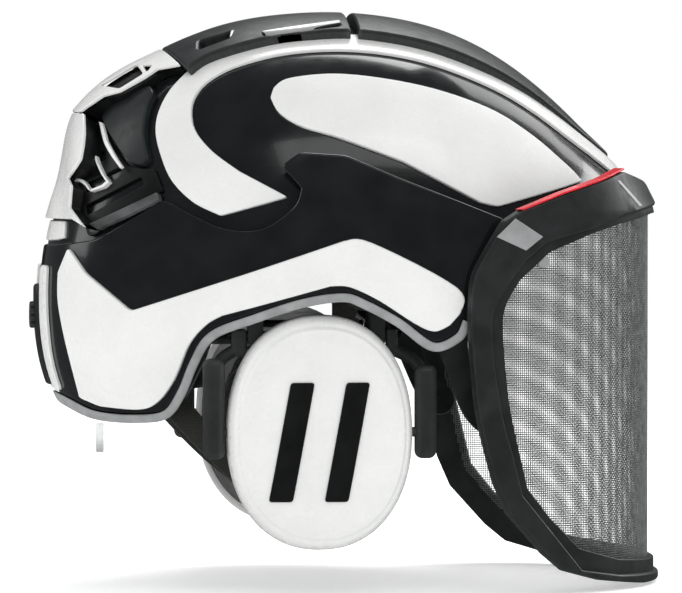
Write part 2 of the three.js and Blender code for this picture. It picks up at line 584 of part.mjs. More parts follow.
const housing = layer(DOME, 0.4, 5.4).intersect(box(-180, -120, -15.6, 15.6, -52, 2))
  .subtract(rod([-190, 0, KNOB_Z], [-163.4, 0, KNOB_Z], 7.6, 24))
  .subtract(rod([-190, 0, KNOB_Z], [-120, 0, KNOB_Z], 3.6, 16));
place('adjuster_housing', housing, BLACK_SATIN);
let knob = rod([-168.6, 0, KNOB_Z], [-163.7, 0, KNOB_Z], 7, 24)
  .add(rod([-165, 0, KNOB_Z], [-119, 0, KNOB_Z], 3, 16));
for (let i = 0; i < 10; i += 1) {
  const turn = (i / 10) * Math.PI * 2;
  const y = 7.2 * Math.cos(turn);
  const z = KNOB_Z + 7.2 * Math.sin(turn);
  knob = knob.subtract(rod([-170, y, z], [-166, y, z], 0.9, 6));
}
place('adjuster_knob', knob, DARK_GREY);

// ---------- chin strap ----------
const rearLeg = ribbon(smoothPath([[-99, -59, -57], [-86, -67.5, -72], [-68, -75.6, -90],
  [-44, -77.6, -110]], 8), [0, -1, 0], 13, 1.6);
const frontLeg = ribbon(smoothPath([[10, -81, 4], [2, -78.6, -30], [-16, -77.8, -74],
  [-44, -77.6, -110]], 8), [0, -1, 0], 13, 1.6);
const joinRing = rod([-44, -79.8, -110], [-44, -75.4, -110], 9.5, 20);
placePair('strap_yoke', rearLeg.add(frontLeg).add(joinRing), WEBBING);
const drop = smoothPath([[-40, -72.5, -110.8], [-37, -65, -115.5], [-27, -46, -118.4],
  [-24, -20.4, -118.7]], 8);
const chinRight = ribbon(drop, [0, -0.25, -1], 15, 1.6);
place('chin_webbing_right', chinRight, WEBBING);
place('chin_webbing_left', chinRight.mirror([0, 1, 0]), WEBBING);
let socket = box(-37, -11, -18.6, 6, -123.5, -114);
socket = socket.subtract(box(-34, -14, -10, 8, -121, -116.5));
socket = socket.subtract(box(-39, -32.5, -6, 0, -121, -116.5))
  .subtract(box(-15.5, -9, -6, 0, -121, -116.5));
place('buckle_socket', socket, BLACK_SATIN);
let plug = box(-36, -12, 6.5, 18.6, -122.5, -115).add(box(-32.5, -29.5, -5, 7, -120.3, -117.3))
  .add(box(-18.5, -15.5, -5, 7, -120.3, -117.3)).add(box(-25.5, -22.5, -8, 7, -120.3, -117.3));
place('buckle_plug', plug, BLACK_SATIN);

const tab = box(-136, -132, -40, -38.8, -85, -70);
place('hang_tab', tab.subtract(rod([-134, -42, -81.5], [-134, -36, -81.5], 1, 12)), CLEAR);

export default group;
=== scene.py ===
"""Looks of the forestry helmet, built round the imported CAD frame.

Lengths in the code are millimetres. +X is forward, +Y the wearer's left, +Z up.
"""

import json
import math

import bmesh
import bpy
import numpy as np
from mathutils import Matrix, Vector
from mathutils.geometry import delaunay_2d_cdt

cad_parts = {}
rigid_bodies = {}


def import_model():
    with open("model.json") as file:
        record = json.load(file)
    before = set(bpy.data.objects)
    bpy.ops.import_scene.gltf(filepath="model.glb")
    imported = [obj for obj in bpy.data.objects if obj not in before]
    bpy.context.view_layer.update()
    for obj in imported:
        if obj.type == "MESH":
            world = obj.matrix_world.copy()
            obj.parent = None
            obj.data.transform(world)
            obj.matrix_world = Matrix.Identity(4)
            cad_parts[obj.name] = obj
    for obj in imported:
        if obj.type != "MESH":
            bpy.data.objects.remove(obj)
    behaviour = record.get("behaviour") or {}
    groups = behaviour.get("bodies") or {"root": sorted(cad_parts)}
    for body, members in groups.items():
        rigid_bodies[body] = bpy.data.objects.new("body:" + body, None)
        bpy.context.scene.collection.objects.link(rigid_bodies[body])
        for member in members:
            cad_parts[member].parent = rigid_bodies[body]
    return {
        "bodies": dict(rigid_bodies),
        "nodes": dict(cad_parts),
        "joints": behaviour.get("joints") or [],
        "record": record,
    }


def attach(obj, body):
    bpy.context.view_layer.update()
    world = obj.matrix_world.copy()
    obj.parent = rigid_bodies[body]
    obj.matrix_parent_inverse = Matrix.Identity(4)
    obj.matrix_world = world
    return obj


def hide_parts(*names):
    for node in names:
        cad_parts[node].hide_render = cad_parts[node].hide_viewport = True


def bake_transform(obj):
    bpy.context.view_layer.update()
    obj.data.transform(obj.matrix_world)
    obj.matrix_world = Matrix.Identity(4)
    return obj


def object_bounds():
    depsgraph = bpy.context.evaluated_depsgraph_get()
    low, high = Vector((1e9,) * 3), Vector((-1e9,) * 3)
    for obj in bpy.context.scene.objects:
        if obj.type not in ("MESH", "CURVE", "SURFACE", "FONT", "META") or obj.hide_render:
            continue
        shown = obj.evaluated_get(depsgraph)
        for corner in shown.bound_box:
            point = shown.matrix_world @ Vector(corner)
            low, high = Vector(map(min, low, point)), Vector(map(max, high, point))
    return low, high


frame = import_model()
cad_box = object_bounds()

MM = 0.001

# ---------- the shapes that the CAD is built on ----------
HALF_WIDTH = 104.0
DOME = [[0, 158], [22, 153], [36, 143], [55, 137], [80, 135], [100, 138], [120, 147],
        [140, 157], [160, 159], [180, 161], [200, 162], [215, 152], [240, 140], [270, 140],
        [300, 145], [330, 152]]
COVER = [[0, 158], [22, 156], [36, 152], [55, 150], [80, 149], [100, 150], [120, 152],
         [140, 158], [160, 159], [180, 161], [200, 162], [215, 152], [240, 140], [270, 140],
         [300, 145], [330, 152]]
ARM_SWEEP = [[0, 158], [180, 158]]
GAP, PANEL, COVER_WALL = 0.3, 1.7, 2.4
SIDE_SCALE = 150.0    # chart millimetres per radian, seen from the side
TOP_ALONG, TOP_ACROSS = 145.0, 114.0
VISOR_REACH, VISOR_HALF, FRAME_WALL, LEAN = 159.5, 116.5, 2.6, 0.53
CUP_X, CUP_Z, CUP_A, CUP_B, CUP_POWER = -26.5, -72.0, 47.0, 59.5, 2.2
KNOB_Z = -15.0
SIDES = (("right", 1.0), ("left", -1.0))


def ease(low, high, x):
    t = np.clip((np.asarray(x, float) - low) / (high - low), 0, 1)
    return t * t * (3 - 2 * t)


def pocket(x):
    """Height of the space under the side cover; it grows toward the front."""
    return 0.4 + 5.2 * ease(-92, -44, x)


def cover_face(x):
    """Height of the side cover's outer face over its skin."""
    return pocket(x) + COVER_WALL


def crest_rise(x):
    return 7.2 - 4.4 * ease(40, 140, x) + 7.6 * ease(-92, -146, x)


def level(height):
    """The same height everywhere."""
    return lambda x: np.zeros_like(np.asarray(x, float)) + height


def radius_at(profile, degrees):
    table = np.array(profile, float)
    angle = np.concatenate([table[:, 0] - 360, table[:, 0], table[:, 0] + 360])
    reach = np.tile(table[:, 1], 3)
    d = np.mod(degrees, 360)
    i = np.searchsorted(angle, d, side="right") - 1
    span = angle[i + 1] - angle[i]
    t = (d - angle[i]) / span
    m1 = (reach[i + 1] - reach[i - 1]) / (angle[i + 1] - angle[i - 1]) * span
    m2 = (reach[i + 2] - reach[i]) / (angle[i + 2] - angle[i]) * span
    return ((2 * t**3 - 3 * t * t + 1) * reach[i] + (t**3 - 2 * t * t + t) * m1
            + (3 * t * t - 2 * t**3) * reach[i + 1] + (t**3 - t * t) * m2)


ROUND_IN, ROUND_OUT = 2.3, 2.1     # powers of a skin's section, a superellipse


class Skin:
    """A helmet surface. A place on it is its share of the side view radius, and the angle."""

    def __init__(self, profile):
        self.profile = profile

    def point(self, share, angle, grow, side=1.0):
        radius = radius_at(self.profile, np.degrees(angle))
        extra = grow(share * radius * np.cos(angle))
        reach = share * (radius + extra)
        out = (HALF_WIDTH + extra) * np.clip(1 - share**ROUND_IN, 0, 1) ** (1 / ROUND_OUT)
        return np.stack([reach * np.cos(angle), -side * out, reach * np.sin(angle)], -1)

    def place(self, x, z, grow):
        angle, r = np.arctan2(z, x), np.hypot(x, z)
        radius = radius_at(self.profile, np.degrees(angle))
        share = r / radius
        for _ in range(5):
            share = r / (radius + grow(share * radius * np.cos(angle)))
        return share, angle

    def share_at(self, angle, y, grow):
        """The share at which the surface is y from the middle of the helmet."""
        share = np.ones_like(angle)
        for _ in range(4):
            radius = radius_at(self.profile, np.degrees(angle))
            extra = grow(share * radius * np.cos(angle))
            share = np.clip(1 - (y / (HALF_WIDTH + extra)) ** ROUND_OUT, 0, 1) ** (1 / ROUND_IN)
        return share


class SideChart:
    """Flat map of one side of a skin."""

    def __init__(self, profile):
        self.skin = Skin(profile)

    def fold(self, points, grow, low=0.2):
        x, z = points[:, 0], points[:, 1]
        share, angle = self.skin.place(x, z, grow)
        share = np.minimum(share, self.skin.share_at(angle, low, grow))
        t = np.arcsin(np.clip(share, 0, 1)) * SIDE_SCALE
        return np.stack([t * np.cos(angle), t * np.sin(angle)], -1)

    def unfold(self, flat, grow):
        t = np.minimum(np.hypot(flat[:, 0], flat[:, 1]) / SIDE_SCALE, math.pi / 2)
        return self.skin.point(np.sin(t), np.arctan2(flat[:, 1], flat[:, 0]), grow)


class TopChart:
    """Flat map of a band over the middle of a skin; the second number grows to the right."""

    def __init__(self, profile):
        self.skin = Skin(profile)

    def fold(self, points, grow):
        share, angle = self.skin.place(points[:, 0], points[:, 1], grow)
        angle = np.mod(angle, 2 * math.pi)
        return np.stack([angle * TOP_ALONG, np.arccos(np.clip(share, 0, 1)) * TOP_ACROSS], -1)

    def at(self, angle, y, grow):
        angle = np.asarray(angle, float)
        share = self.skin.share_at(angle, np.abs(y), grow)
        return np.stack([angle * TOP_ALONG, np.sign(y) * np.arccos(share) * TOP_ACROSS], -1)

    def unfold(self, flat, grow):
        rise = flat[:, 1] / TOP_ACROSS
        side = np.where(rise < 0, -1.0, 1.0)
        return self.skin.point(np.cos(np.abs(rise)), flat[:, 0] / TOP_ALONG, grow, side)


class VisorChart:
    """Flat map of the visor: length round its plan curve from the front centre, and height."""

    def __init__(self):
        turn = np.linspace(math.pi / 2, 0.05, 4000)
        x, y = VISOR_REACH * np.sin(turn), VISOR_HALF * (1 - np.sin(turn) ** 3) ** (1 / 2.2)
        self.turn = turn
        self.run = np.concatenate([[0], np.cumsum(np.hypot(np.diff(x), np.diff(y)))])

    def fold(self, points, grow):
        x, z = points[:, 0], points[:, 1]
        reach = VISOR_REACH + grow(x)
        base = np.minimum(x, reach)
        for _ in range(8):
            base = np.minimum(x + LEAN * np.maximum(z - 40, 0) * (base / reach) ** 3, reach)
        turn = np.arcsin(np.clip(base / reach, 0, 1))
        return np.stack([np.interp(-turn, -self.turn, self.run), z], -1)

    def unfold(self, flat, grow):
        turn = np.interp(np.abs(flat[:, 0]), self.run, self.turn)
        z = flat[:, 1]
        extra = grow(z * 0)
        x = (VISOR_REACH + extra) * np.sin(turn)
        x = x - LEAN * np.maximum(z - 40, 0) * np.sin(turn) ** 3
        y = (VISOR_HALF + extra) * np.clip(1 - np.sin(turn) ** 3, 0, 1) ** (1 / 2.2)
        return np.stack([x, -np.where(flat[:, 0] < 0, -1.0, 1.0) * y, z], -1)


side_dome, side_cover, side_arm = SideChart(DOME), SideChart(COVER), SideChart(ARM_SWEEP)
top_dome, top_cover = TopChart(DOME), TopChart(COVER)
visor_chart = VisorChart()


# ---------- outlines ----------
def outline(*runs, fine=6):
    """A run of three or more points is a smooth curve, shorter runs are corners."""
    points = []
    for run in runs:
        run = [np.array(p, float) for p in run]
        if len(run) < 3:
            points += run
            continue
        last = len(run) - 1
        for i in range(last):
            p0, p1, p2, p3 = run[max(i - 1, 0)], run[i], run[i + 1], run[min(i + 2, last)]
            for k in range(fine):
                t = k / fine
                v0, v1 = (p2 - p0) / 2, (p3 - p1) / 2
                points.append((2 * p1 - 2 * p2 + v0 + v1) * t**3
                              + (-3 * p1 + 3 * p2 - 2 * v0 - v1) * t * t + v0 * t + p1)
        points.append(run[-1])
    return np.array(points)


def soften(points, reach):
    """Rounds the sharp corners of an outline."""
    out, n = [], len(points)
    for i, p in enumerate(points):
        a, b = points[i - 1] - p, points[(i + 1) % n] - p
        la, lb = np.linalg.norm(a), np.linalg.norm(b)
        if la < 1e-6 or lb < 1e-6:
            continue
        bend = math.pi - math.acos(max(-1, min(1, float(a @ b) / (la * lb))))
        if bend < 0.28:
            out.append(p)
            continue
        start, end = p + a / la * min(reach, la * 0.45), p + b / lb * min(reach, lb * 0.45)
        for k in range(7):
            t = k / 6
            out.append((1 - t) ** 2 * start + 2 * t * (1 - t) * p + t * t * end)
    return np.array(out)


def resample(points, step, closed=True):
    out, n = [], len(points)
    for i in range(n if closed else n - 1):
        a, b = points[i], points[(i + 1) % n]
        cuts = max(1, int(math.ceil(np.linalg.norm(b - a) / step)))
        out += [a + (b - a) * k / cuts for k in range(cuts)]
    if not closed:
        out.append(points[-1])
    return np.array(out)


def thin_out(points, least):
    kept = [points[0]]
    for p in points[1:]:
        if np.linalg.norm(p - kept[-1]) > least:
            kept.append(p)
    if np.linalg.norm(kept[-1] - kept[0]) < least:
        kept.pop()
    return np.array(kept)


def area(points):
    x, y = points[:, 0], points[:, 1]
    return 0.5 * np.sum(x * np.roll(y, -1) - np.roll(x, -1) * y)


def inside(points, loop):
    x, y = points[:, 0][:, None], points[:, 1][:, None]
    a, b = loop, np.roll(loop, -1, axis=0)
    across = (a[:, 1] > y) != (b[:, 1] > y)
    with np.errstate(divide="ignore", invalid="ignore"):
        cut = (b[:, 0] - a[:, 0]) * (y - a[:, 1]) / (b[:, 1] - a[:, 1]) + a[:, 0]
    return (np.sum(across & (x < cut), axis=1) % 2) == 1


def within(points, loops):
    """Which points lie inside the first loop and outside the others."""
    keep = inside(points, loops[0])
    for hole in loops[1:]:
        keep &= ~inside(points, hole)
    return keep


def nearest(points, loops):
    """Distance from each point to the nearest loop, and that nearest place."""
    best, place = np.full(len(points), 1e9), np.zeros_like(points)
    for loop in loops:
        a, b = loop, np.roll(loop, -1, axis=0)
        d = b - a
        size = np.maximum(np.sum(d * d, 1), 1e-12)
        for k in range(0, len(points), 400):
            p = points[k:k + 400]
            t = np.clip(((p[:, None] - a) * d).sum(-1) / size, 0, 1)
            q = a + d * t[..., None]
            gap = np.linalg.norm(p[:, None] - q, axis=-1)
            j = gap.argmin(1)
            rows = np.arange(len(p))
            found = gap[rows, j]
            better = found < best[k:k + 400]
            best[k:k + 400][better] = found[better]
            place[k:k + 400][better] = q[rows, j][better]
    return best, place


def inset(loop, distance):
    """The loop moved to its left, which is inward for an anticlockwise one."""
    ahead, back = np.roll(loop, -1, axis=0) - loop, loop - np.roll(loop, 1, axis=0)
    n1 = np.stack([-back[:, 1], back[:, 0]], -1)
    n2 = np.stack([-ahead[:, 1], ahead[:, 0]], -1)
    n1 /= np.maximum(np.linalg.norm(n1, axis=1, keepdims=True), 1e-9)
    n2 /= np.maximum(np.linalg.norm(n2, axis=1, keepdims=True), 1e-9)
    n = n1 + n2
    n /= np.maximum(np.linalg.norm(n, axis=1, keepdims=True), 1e-9)
    share = np.clip(np.sum(n * n1, axis=1, keepdims=True), 0.55, 1)
    return loop + n * distance / share


# ---------- meshes ----------
def unit(v):
    return v / np.maximum(np.linalg.norm(v, axis=-1, keepdims=True), 1e-12)


def make(name, verts, faces, look, corner_normals=None):
    mesh = bpy.data.meshes.new(name)
    mesh.from_pydata((np.asarray(verts, float) * MM).tolist(), [], faces)
    mesh.polygons.foreach_set("use_smooth", [True] * len(mesh.polygons))
    mesh.update()
    if corner_normals is not None:
        mesh.normals_split_custom_set(corner_normals)
    obj = bpy.data.objects.new(name, mesh)
    bpy.context.scene.collection.objects.link(obj)
    obj.data.materials.append(look)
    return obj


def piece(obj, body, node):
    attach(obj, body)
    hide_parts(node)
    return obj


# shares of the bevel at which rings of points lie inside a plate's edge
BEVEL_ROWS = (0.06, 0.2, 0.42, 0.7, 1.0)
NUDGE = 0.05           # chart millimetres between the samples that give a plate its normals


def patch(name, loops, chart, bottom, top, look, bevel=0.6, step=3.2, side=1.0, low=0.2,
          folded=False, edge=1.6):
    """A plate that lies on a skin, with a rounded rim.

    The first loop is its outline, the others are its holes. bottom and top are heights over the
    skin, each a number or a function of x.
    """
    bottom, top = (level(v) if isinstance(v, (int, float)) else v for v in (bottom, top))
    flat = []
    for i, loop in enumerate(loops):
        loop = np.asarray(loop, float)
        if not folded:
            loop = chart.fold(resample(loop, edge), top, low)
        loop = thin_out(resample(loop, edge), edge * 0.3)
        if (area(loop) > 0) != (i == 0):
            loop = loop[::-1]
        flat.append(loop)
    points, constraints = [], []
    for loop in flat:
        start = sum(len(p) for p in points)
        points.append(loop)
        n = len(loop)
        constraints += [(start + k, start + (k + 1) % n) for k in range(n)]
    for loop in flat:
        for share in BEVEL_ROWS if bevel > 0 else ():
            ring = inset(loop, share * bevel)
            ring = ring[within(ring, flat)]
            if len(ring):
                gap, _ = nearest(ring, flat)
                points.append(ring[gap > 0.8 * share * bevel])
    low_corner, high_corner = flat[0].min(0), flat[0].max(0)
    gx = np.arange(low_corner[0], high_corner[0], step)
    gy = np.arange(low_corner[1], high_corner[1], step * 0.866)
    grid = np.array([(x + (step / 2 if j % 2 else 0), y) for j, y in enumerate(gy) for x in gx])
    if len(grid):
        grid = grid[within(grid, flat)]
    if len(grid):
        gap, _ = nearest(grid, flat)
        points.append(grid[gap > bevel + step * 0.45])
    points = np.concatenate(points)
    found = delaunay_2d_cdt([Vector(p) for p in points], constraints, [], 0, 1e-5, False)
    spots = np.array([(v[0], v[1]) for v in found[0]])
    triangles = np.array([f for f in found[2] if len(f) == 3])
    triangles = triangles[within(spots[triangles].mean(1), flat)]
    used = np.unique(triangles)
    renumber = -np.ones(len(spots), int)
    renumber[used] = np.arange(len(used))
    spots, triangles = spots[used], renumber[triangles]
    corners = spots[triangles]
    turn = np.cross(corners[:, 1] - corners[:, 0], corners[:, 2] - corners[:, 0])
    flat_ones = np.abs(turn) <= 1e-7
    triangles, turn = triangles[~flat_ones], turn[~flat_ones]
    triangles[turn < 0] = triangles[turn < 0][:, ::-1]

    gap, near = nearest(spots, flat)
    drop, slope = np.zeros(len(spots)), np.zeros(len(spots))
    if bevel > 0:
        d = np.minimum(gap, bevel)
        drop = bevel - np.sqrt(np.maximum(bevel**2 - (bevel - d) ** 2, 0))
        slope = (bevel - d) / bevel

    du = chart.unfold(spots + [NUDGE, 0], top) - chart.unfold(spots - [NUDGE, 0], top)
    dv = chart.unfold(spots + [0, NUDGE], top) - chart.unfold(spots - [0, NUDGE], top)
    base = unit(np.cross(du, dv))
    up = chart.unfold(spots, lambda x: top(x) + 0.1) - chart.unfold(spots, top)
    base *= np.where(np.sum(base * up, 1) < 0, -1.0, 1.0)[:, None]
    upper = chart.unfold(spots, top) - base * drop[:, None]
    lower = chart.unfold(spots, bottom)
    outward = chart.unfold(spots + unit(near - spots) * NUDGE, top) - chart.unfold(spots, top)
    rim_spots = np.nonzero(gap < 1e-4)[0]
    for loop in flat:
        way = np.roll(loop, -1, axis=0) - np.roll(loop, 1, axis=0)
        out = unit(np.stack([way[:, 1], -way[:, 0]], -1))
        dist = np.linalg.norm(spots[rim_spots][:, None] - loop[None], axis=-1)
        j = dist.argmin(1)
        hit = dist[np.arange(len(j)), j] < edge
        rows_hit = rim_spots[hit]
        outward[rows_hit] = (chart.unfold(spots[rows_hit] + out[j[hit]] * NUDGE, top)
                             - chart.unfold(spots[rows_hit], top))
    outward = unit(outward - base * np.sum(outward * base, 1)[:, None])
    tilt = np.clip(slope, 0, 1)[:, None]
    normal = unit(base * np.sqrt(1 - tilt**2) + outward * tilt) if bevel > 0 else base

    # top face, underside and walls
    n = len(spots)
    edges = dict.fromkeys(map(tuple, triangles[:, [0, 1, 1, 2, 2, 0]].reshape(-1, 2).tolist()))
    border = np.array([e for e in edges if e[::-1] not in edges])
    probe = upper[triangles[0]]
    flip = float(np.cross(probe[1] - probe[0], probe[2] - probe[0]) @ base[triangles[0][0]]) < 0
    above, below = triangles, triangles[:, [0, 2, 1]]
    if flip:
        above, below = below, above
    else:
        border = border[:, ::-1]
    walls = np.concatenate([border, border[:, ::-1] + n], 1)
    faces = [tuple(f) for part in (above, below + n, walls) for f in part.tolist()]
    corner = np.concatenate([v.reshape(-1, 3) for v in (normal[above], -base[below],
                                                        outward[walls % n])])
    return finish_sided(name, np.concatenate([upper, lower]), faces, corner, look, side)


def finish_sided(name, verts, faces, corner, look, side):
    """Makes the object; side -1 mirrors it to the wearer's left."""
    if side < 0:
        verts = verts * [1, -1, 1]
        if corner is not None:
            corner = corner * [1, -1, 1]
            k, turned = 0, np.empty_like(corner)
            for f in faces:
                turned[k:k + len(f)] = corner[k:k + len(f)][::-1]
                k += len(f)
            corner = turned
        faces = [tuple(f[::-1]) for f in faces]
    return make(name, verts, faces, LOOK[look], None if corner is None else corner.tolist())


def weld(obj, distance):
    bm = bmesh.new()
    bm.from_mesh(obj.data)
    bmesh.ops.remove_doubles(bm, verts=bm.verts, dist=distance * MM)
    bmesh.ops.recalc_face_normals(bm, faces=bm.faces)
    bm.to_mesh(obj.data)
    bm.free()
    return obj


def smooth_edges(obj, sharp, mend=False):
    """Turns the faces outward and keeps hard the edges that bend more than sharp degrees."""
    bm = bmesh.new()
    bm.from_mesh(obj.data)
    if mend:
        bmesh.ops.dissolve_degenerate(bm, dist=1e-6, edges=bm.edges)
        holes = [e for e in bm.edges if e.is_boundary]
        if holes:
            bmesh.ops.holes_fill(bm, edges=holes, sides=0)
    bmesh.ops.recalc_face_normals(bm, faces=bm.faces)
    for e in bm.edges:
        if len(e.link_faces) == 2:
            e.smooth = e.calc_face_angle(0) < math.radians(sharp)
    bm.to_mesh(obj.data)
    bm.free()
    return obj


def circle(radius, count=16):
    t = np.linspace(0, 2 * math.pi, count, endpoint=False)
    return np.stack([radius * np.cos(t), radius * np.sin(t)], -1)


def pill(width, tall, radius, count=4):
    """Rounded rectangle section."""
    radius = min(radius, width / 2, tall / 2)
    out = []
    for k, (sx, sy) in enumerate([(1, 1), (-1, 1), (-1, -1), (1, -1)]):
        for i in range(count + 1):
            a = (k + i / count) * math.pi / 2
            out.append((sx * (width / 2 - radius) + radius * math.cos(a),
                        sy * (tall / 2 - radius) + radius * math.sin(a)))
    return thin_out(np.array(out), 1e-4)


def smooth_path(points, count):
    """Catmull-Rom curve through the points, evenly spaced."""
    dense = outline(list(map(tuple, points)), fine=24)
    run = np.concatenate([[0], np.cumsum(np.linalg.norm(np.diff(dense, axis=0), axis=1))])
    s = np.linspace(0, run[-1], count)
    return np.stack([np.interp(s, run, dense[:, k]) for k in range(dense.shape[1])], -1)


def tube(rows, count, closed=False, caps=True):
    """Faces between rings of the same count; open ends are capped."""
    faces = [(i * count + k, i * count + (k + 1) % count, (i + 1) % rows * count + (k + 1) % count,
              (i + 1) % rows * count + k)
             for i in range(rows if closed else rows - 1) for k in range(count)]
    if caps and not closed:
        faces += [tuple(range(count))[::-1], tuple((rows - 1) * count + k for k in range(count))]
    return faces


def sweep(path, section, facing=None):
    """A section carried along a path. With facing, its second axis keeps that way."""
    path = np.asarray(path, float)
    n, m = len(path), len(section)
    along = unit(np.gradient(path, axis=0))
    if facing is None:
        start = np.array([0, 0, 1.0]) if abs(along[0][2]) < 0.9 else np.array([0, 1.0, 0])
        across = [unit(np.cross(start, along[0]))]
        for k in range(1, n):
            v = across[-1] - along[k] * float(across[-1] @ along[k])
            across.append(unit(v))
        across = np.array(across)
        up = np.cross(along, across)
    else:
        up = np.asarray(facing, float)
        up = np.tile(up, (n, 1)) if up.ndim == 1 else up
        across = unit(np.cross(along, up))
        up = np.cross(across, along)
    verts = (path[:, None] + across[:, None] * section[None, :, :1]
             + up[:, None] * section[None, :, 1:])
    return verts.reshape(-1, 3), tube(n, m)


def join(parts):
    verts, faces, start = [], [], 0
    for v, f in parts:
        verts.append(np.asarray(v, float))
        faces += [tuple(k + start for k in face) for face in f]
        start += len(v)
    return np.concatenate(verts), faces


def block(x0, x1, y0, y1, z0, z1, radius, segments=3):
    """A box with rounded edges."""
    bm = bmesh.new()
    bmesh.ops.create_cube(bm, size=1)
    for v in bm.verts:
        v.co = Vector(((x0 + x1) / 2 + v.co.x * (x1 - x0), (y0 + y1) / 2 + v.co.y * (y1 - y0),
                       (z0 + z1) / 2 + v.co.z * (z1 - z0)))
    bmesh.ops.bevel(bm, geom=bm.edges[:], offset=radius, segments=segments, affect="EDGES",
                    profile=0.5, clamp_overlap=True)
    bm.verts.ensure_lookup_table()
    verts = np.array([v.co[:] for v in bm.verts])
    faces = [tuple(v.index for v in f.verts) for f in bm.faces]
    bm.free()
    return verts, faces


def lathe(start, end, profile, count=32):
    """Turns (distance along, radius) pairs about the line from start to end."""
    start, end = np.array(start, float), np.array(end, float)
    axis = unit(end - start)
    side = unit(np.cross(axis, [0, 0, 1.0] if abs(axis[2]) < 0.9 else [0, 1.0, 0]))
    other = np.cross(axis, side)
    t = np.linspace(0, 2 * math.pi, count, endpoint=False)
    verts = [start + axis * d + (side * math.cos(a) + other * math.sin(a)) * r
             for d, r in profile for a in t]
    return np.array(verts), tube(len(profile), count)


def build(name, parts, look, body, node, slot=None, side=1.0, sharp=35):
    """A piece from closed meshes, smooth except at its sharp edges."""
    obj = solid(name, parts, look, side, sharp)
    return piece(obj, body, node)


def plate(name, loops, chart, bottom, top, look, node, slot=None, body="helmet", **shape):
    """A piece made of one patch."""
    obj = patch(name, loops, chart, bottom, top, look, **shape)
    return piece(obj, body, node)


def on_both(maker, name, *args, **values):
    """The same piece on the right and on the left; {} in a name stands for the side."""
    for tag, side in SIDES:
        words = [a.format(tag) if isinstance(a, str) else a for a in args]
        named = {k: v.format(tag) if isinstance(v, str) else v for k, v in values.items()}
        maker(name.format(tag), *words, side=side, **named)


def solid(name, parts, look, side=1.0, sharp=35):
    """One object from several closed meshes, smooth except at its sharp edges."""
    verts, faces = join(parts) if isinstance(parts, list) else parts
    obj = finish_sided(name, np.asarray(verts, float), faces, None, look, side)
    return smooth_edges(obj, sharp)


def cut(obj, tool_parts):
    """Takes a shape away from a piece."""
    verts, faces = join(tool_parts)
    tool = weld(make("tool", verts, faces, obj.data.materials[0]), 0.0001)
    mod = obj.modifiers.new("cut", "BOOLEAN")
    mod.operation, mod.object, mod.solver = "DIFFERENCE", tool, "EXACT"
    mod.use_self = True
    bake(obj)
    bpy.data.objects.remove(tool)
    return obj


def bake(obj):
    """Applies the modifiers."""
    graph = bpy.context.evaluated_depsgraph_get()
    mesh = bpy.data.meshes.new_from_object(obj.evaluated_get(graph))
    old = obj.data
    obj.modifiers.clear()
    obj.data = mesh
    mesh.name = old.name
    bpy.data.meshes.remove(old)
    return obj


